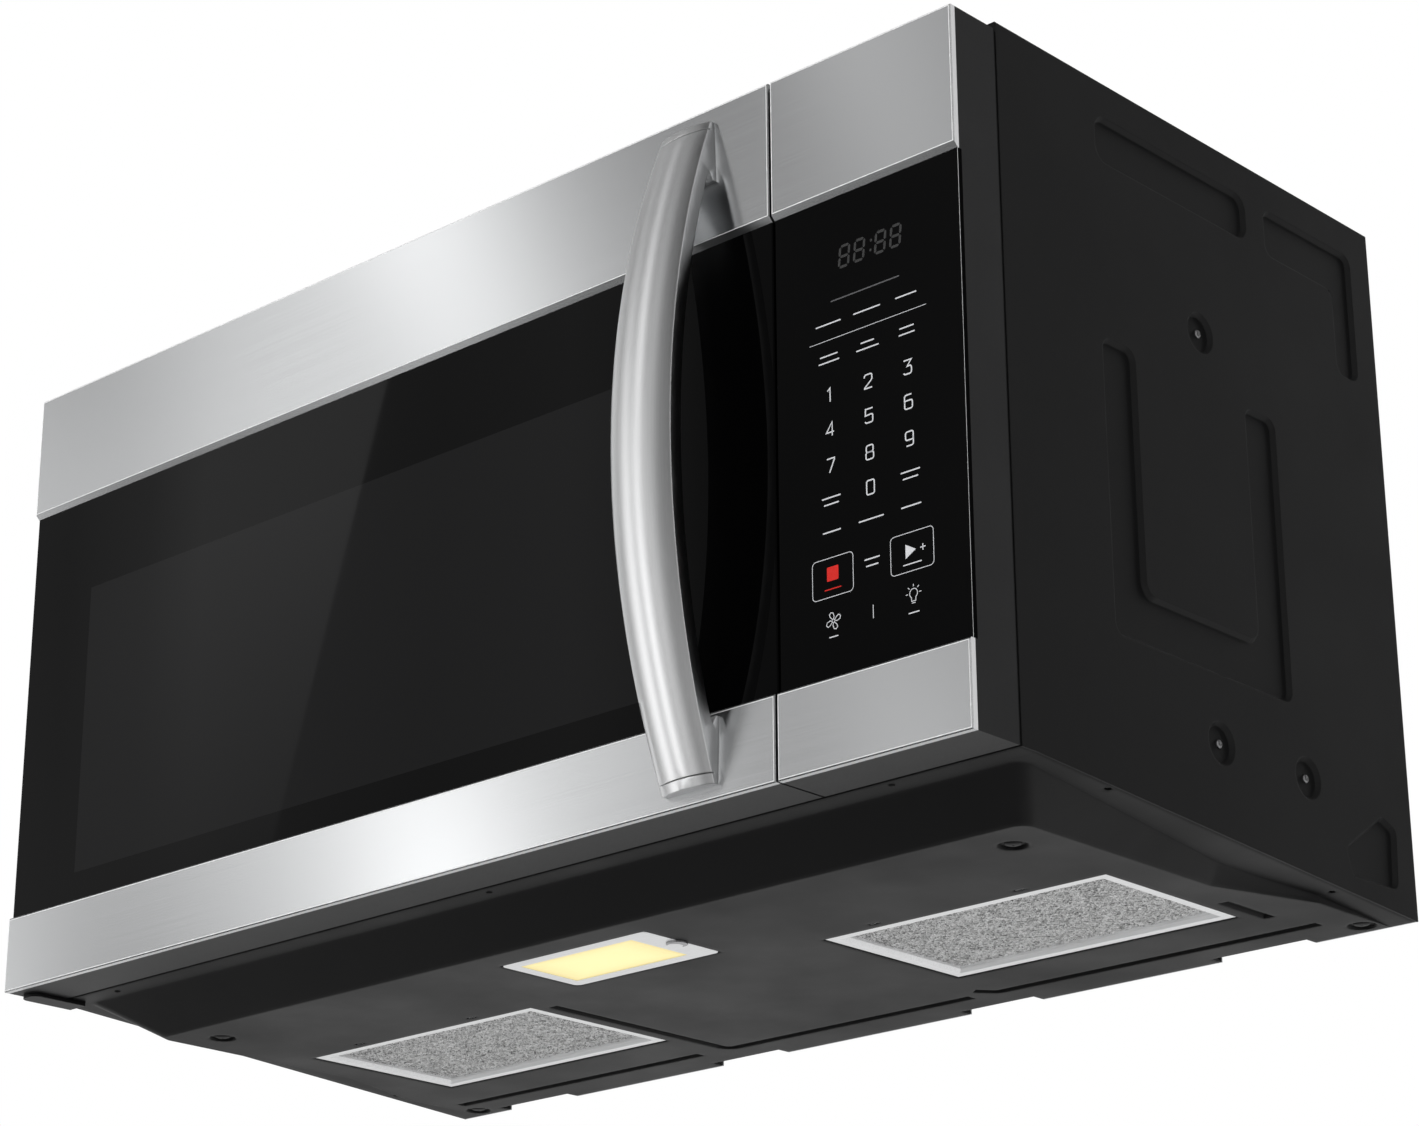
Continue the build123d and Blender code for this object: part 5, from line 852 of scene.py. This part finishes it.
# ---------------------------------------------------------------- filter mesh: two layers of slit foil
FOIL_MARGIN = 1.4
HALF_STRAND = 0.26
random.seed(7)
for hand in ("right", "left"):
    low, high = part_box(f"{hand}_filter_mesh")
    x0, x1 = low.x / MM + FOIL_MARGIN, high.x / MM - FOIL_MARGIN
    y0, y1 = low.y / MM + FOIL_MARGIN, high.y / MM - FOIL_MARGIN
    base = low.z / MM
    strands = bmesh.new()
    for layer in range(2):
        pitch_y, pitch_x = 2.2 + 0.3 * layer, 2.4 + 0.4 * layer
        rows = int((y1 - y0) / pitch_y)
        columns = int((x1 - x0) / pitch_x)
        for r in range(rows):
            y = y0 + (r + 0.5) * pitch_y
            last = None
            for c in range(columns + 1):
                x = min(x1, x0 + c * pitch_x)
                swing = pitch_y * 0.5 * (1 if (c + r) % 2 else -1)
                z = base - 0.15 - 0.3 * layer - 0.25 * random.random()
                tilt = random.uniform(-0.28, 0.28)
                strayed_x = x + random.uniform(-0.3, 0.3)
                strayed_y = y + swing * 0.9 + random.uniform(-0.2, 0.2)
                centre = Vector((strayed_x, strayed_y, z))
                half = Vector((0, HALF_STRAND, tilt))
                pair = strands.verts.new(centre + half), strands.verts.new(centre - half)
                if last:
                    strands.faces.new((last[0], pair[0], pair[1], last[1]))
                last = pair
    piece(f"{hand}_mesh_foil", strands, f"{hand}_filter", FINISH["filter_mesh"])


# ---------------------------------------------------------------- camera, as fitted to the photo
camera_data = bpy.data.cameras.new("camera")
camera_data.lens = 89.93
camera_data.sensor_width = 36.0
camera = bpy.data.objects.new("camera", camera_data)
right = Vector((0.73479565, 0.67827241, -0.00467961))
up = Vector((0.24277317, -0.25654985, 0.93554442))
forward = Vector((-0.63335341, 0.68857005, 0.35317806))
turn = Matrix((right, up, -forward)).transposed().to_4x4()
camera.matrix_world = Matrix.Translation((1.37663, -1.65908, -0.50258)) @ turn
scene.collection.objects.link(camera)
scene.camera = camera
scene.view_settings.view_transform = "Standard"


# ---------------------------------------------------------------- studio
def seen_directly(nodes, links):
    """1 for camera, glossy and transmission rays, 0 for the rays that light the object."""
    path = nodes.new("ShaderNodeLightPath")
    first = nodes.new("ShaderNodeMath")
    first.operation = "MAXIMUM"
    links.new(path.outputs["Is Camera Ray"], first.inputs[0])
    links.new(path.outputs["Is Glossy Ray"], first.inputs[1])
    second = nodes.new("ShaderNodeMath")
    second.operation = "MAXIMUM"
    links.new(first.outputs[0], second.inputs[0])
    links.new(path.outputs["Is Transmission Ray"], second.inputs[1])
    return second.outputs[0]


DAYLIGHT = 0.62  # the world's strength where it lights the object; where it is seen, it is 1
world = bpy.data.worlds.new("studio")
world.use_nodes = True
scene.world = world
nodes, links = world.node_tree.nodes, world.node_tree.links
background = nodes["Background"]
background.inputs["Color"].default_value = (1, 1, 1, 1)
strength = nodes.new("ShaderNodeMapRange")
strength.inputs["To Min"].default_value = DAYLIGHT
strength.inputs["To Max"].default_value = 1.0
links.new(seen_directly(nodes, links), strength.inputs["Value"])
links.new(strength.outputs["Result"], background.inputs["Strength"])

FLOOR_Z = -3.2
FLOOR_GLOW = 0.72  # the share of white glow in the floor as it is seen; the rest takes shadows
floor_mesh = bpy.data.meshes.new("floor")
floor_bm = bmesh.new()
bmesh.ops.create_grid(floor_bm, x_segments=8, y_segments=8, size=20.0)
floor_bm.to_mesh(floor_mesh)
floor_bm.free()
floor = bpy.data.objects.new("floor", floor_mesh)
floor.location.z = FLOOR_Z
scene.collection.objects.link(floor)
floor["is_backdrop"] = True
floor_mat = bpy.data.materials.new("floor_pale")
floor_mat.use_nodes = True
nodes, links = floor_mat.node_tree.nodes, floor_mat.node_tree.links
plain = nodes["Principled BSDF"]
plain.inputs["Base Color"].default_value = (0.86, 0.86, 0.86, 1)
plain.inputs["Roughness"].default_value = 0.9
plain.inputs["Specular IOR Level"].default_value = 0.0
glow = nodes.new("ShaderNodeEmission")
mixer = nodes.new("ShaderNodeMixShader")
share = nodes.new("ShaderNodeMath")
share.operation = "MULTIPLY"
share.inputs[1].default_value = FLOOR_GLOW
links.new(seen_directly(nodes, links), share.inputs[0])
links.new(share.outputs[0], mixer.inputs["Fac"])
links.new(plain.outputs[0], mixer.inputs[1])
links.new(glow.outputs[0], mixer.inputs[2])
links.new(mixer.outputs[0], nodes["Material Output"].inputs["Surface"])
floor_mesh.materials.append(floor_mat)


def board(name, corners):
    """A studio board that only shiny surfaces see; returns its shader, for lit to end."""
    mesh = bpy.data.meshes.new(name)
    mesh.from_pydata([Vector(c) for c in corners], [], [tuple(range(len(corners)))])
    made = bpy.data.objects.new(name, mesh)
    scene.collection.objects.link(made)
    made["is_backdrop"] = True
    made.visible_camera = False
    made.visible_diffuse = False
    made.visible_shadow = False
    made.visible_transmission = False
    glow = Shader(name)
    mesh.materials.append(glow.mat)
    return glow


def lit(glow, value):
    """End a board's material in an emission of the given strength."""
    glow.nodes.remove(glow.bsdf)
    emit = glow.node("ShaderNodeEmission", {"Strength": value})
    glow.links.new(emit.outputs[0], glow.nodes["Material Output"].inputs["Surface"])


PEAK = 3.0  # the strongest level of a board


def graded(glow, value, stops):
    """A strength read off stops of (place, strength) along a coordinate."""
    first, last = stops[0][0], stops[-1][0]
    share = glow.spread(value, 0.0, 1.0, (first, last))
    color = glow.ramp(share, *(((place - first) / (last - first), level / PEAK) for place, level in stops))
    return glow.times(glow.grey(color), PEAK)


# The front mirrors this board. Its ends, above and below, shade the steel; its middle is what the
# glass shows. The stops of the steel's levels lie across the face, those of the glass's across the board.
STEEL_GRADE = (
    (-5.2, 0.1), (-2.6, 0.2), (-1.6, 0.5), (-1.1, 1.2), (-0.72, 1.9), (-0.5, 1.5), (-0.42, 0.95),
    (-0.365, 0.75), (-0.31, 0.2), (-0.26, 0.2), (-0.206, 0.5), (-0.125, 0.9), (-0.07, 1.4), (-0.03, 2.5),
    (0.01, 2.9), (0.045, 2.2), (0.09, 1.15), (0.13, 0.75), (0.165, 0.6), (0.23, 0.34), (0.266, 0.32),
    (0.307, 0.9), (0.34, 1.3), (0.375, 0.75), (0.42, 0.75), (0.48, 0.4), (0.585, 0.2), (0.69, 0.12),
    (1.0, 0.12), (1.3, 0.3), (4.0, 0.35),
)
GLASS_GRADE = (
    (-16.0, 0.2), (-7.0, 0.6), (-4.2, 1.4), (-3.4, 0.8), (-3.2, 0.75), (-3.0, 1.1), (-2.85, 1.75),
    (-2.62, 1.85), (-2.3, 1.9), (2.0, 1.9),
)
REST_GRADE = (
    (-16.0, 0.2), (-7.0, 0.6), (-4.2, 1.4), (-2.62, 0.8), (-2.3, 0.7), (-2.15, 0.8), (-2.0, 0.95),
    (-1.85, 0.8), (-1.7, 0.45), (-1.55, 0.36), (-1.3, 0.45), (-1.1, 0.5), (-0.73, 0.3), (2.0, 0.15),
)
HEIGHT_GRADE = ((-3.0, 1.0), (2.0, 1.0), (2.6, 0.74), (3.5, 0.42), (5.3, 0.2), (9.0, 0.15))
EDGE_SLOPE, EDGE_FOOT = 0.33, -2.98  # the glass's picture is brighter to the left of this edge
GLASS_Z = (0.99, 1.73)  # what the glass mirrors of the board's height, and how far it does so to the right
GLASS_END = 0.5
CAMERA_X = 1.377
BOARD_GAP = 2.11  # from the face to the board, along Y
# middle heights of the steel's lower and upper band, and for each how far the board is from it, as a
# multiple of the camera's distance, both seen along X
BAND_Z = (0.045, 0.37)
BAND_REACH = (1.527, 1.37)
BAND_SPLIT = 1.37  # the upper band mirrors what is higher than this on the board
front = board("front_board", ((-16, -2.5, -3.0), (3, -2.5, -3.0), (3, -2.5, 9.0), (-16, -2.5, 9.0)))
across, _, height = front.axes()
# the glass
edge = front.math("ADD", front.times(height, EDGE_SLOPE), EDGE_FOOT)
left = front.math("GREATER_THAN", edge, across)
fade = front.spread(height, 0.25, 1.0, (1.0, 1.55))
pane = graded(front, across, GLASS_GRADE)
rest = graded(front, across, REST_GRADE)
gain = front.math("SUBTRACT", pane, rest)
glass_level = front.math("ADD", rest, front.times(front.times(left, fade), gain))
middle = front.times(front.inside(height, *GLASS_Z), front.math("LESS_THAN", across, GLASS_END))
# the steel: curved so that each vertical streak of brushed steel mirrors one place of the pattern
upper = front.math("GREATER_THAN", height, BAND_SPLIT)
rise = front.math("DIVIDE", front.math("SUBTRACT", height, front.spread(upper, *BAND_Z)), BOARD_GAP)
bend = front.math("SQRT", front.math("ADD", front.times(rise, rise), 1.0))
reach = front.times(bend, front.spread(upper, *BAND_REACH))
mirrored = front.math("ADD", across, front.times(reach, CAMERA_X))
place = front.math("DIVIDE", mirrored, front.math("ADD", reach, 1.0))
steel_level = front.times(graded(front, place, STEEL_GRADE), graded(front, height, HEIGHT_GRADE))
# its low right part is what the steel shows to someone straight in front
low_part = front.spread(height, 0.5, 0.0, (-0.1, 0.35))
open_front = front.times(low_part, front.spread(across, 0.0, 1.0, (-0.95, -0.55)))
steel_level = front.math("MAXIMUM", steel_level, open_front)
outside = front.math("SUBTRACT", 1.0, middle)
lit(front, front.math("ADD", front.times(middle, glass_level), front.times(outside, steel_level)))

side = board("side_board", ((3.2, -0.9, -1.0), (3.2, 6.0, -1.0), (3.2, 6.0, 5.0), (3.2, -0.9, 5.0)))
lit(side, graded(side, side.axes()[1], ((-1.5, 0.3), (0.5, 0.1), (6.0, 0.05))))
top = board("high_board", ((-16, -2.5, 9.0), (6, -2.5, 9.0), (6, 8, 9.0), (-16, 8, 9.0)))
lit(top, graded(top, top.axes()[1], ((-2.5, 0.22), (8.0, 0.4))))
under = board("low_board", ((-3.2, -3.0, -2.0), (1.6, -3.0, -2.0), (1.6, 1.1, -2.0), (-3.2, 1.1, -2.0)))
lit(under, graded(under, under.axes()[0], ((-3.2, 0.04), (-1.5, 0.045), (1.6, 0.1))))


def lamp(name, place, target, size, watts):
    """A soft white lamp that lights surfaces and doesn't show in their gloss."""
    data = bpy.data.lights.new(name, "AREA")
    data.shape = "RECTANGLE"
    data.size, data.size_y = size
    data.energy = watts
    made = bpy.data.objects.new(name, data)
    made.location = place
    made.rotation_mode = "QUATERNION"
    made.rotation_quaternion = (Vector(target) - Vector(place)).to_track_quat("-Z", "Y")
    made.visible_glossy = False
    scene.collection.objects.link(made)


lamp("key", (-2.2, -2.8, 2.6), (0, -0.2, 0.2), (1.8, 1.8), 60)
lamp("fill", (2.6, -2.2, 0.2), (0.2, -0.2, 0.2), (1.6, 2.2), 9)
lamp("under", (1.7, -0.4, -1.9), (0.1, -0.1, 0.0), (1.6, 1.6), 8)

low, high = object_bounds()
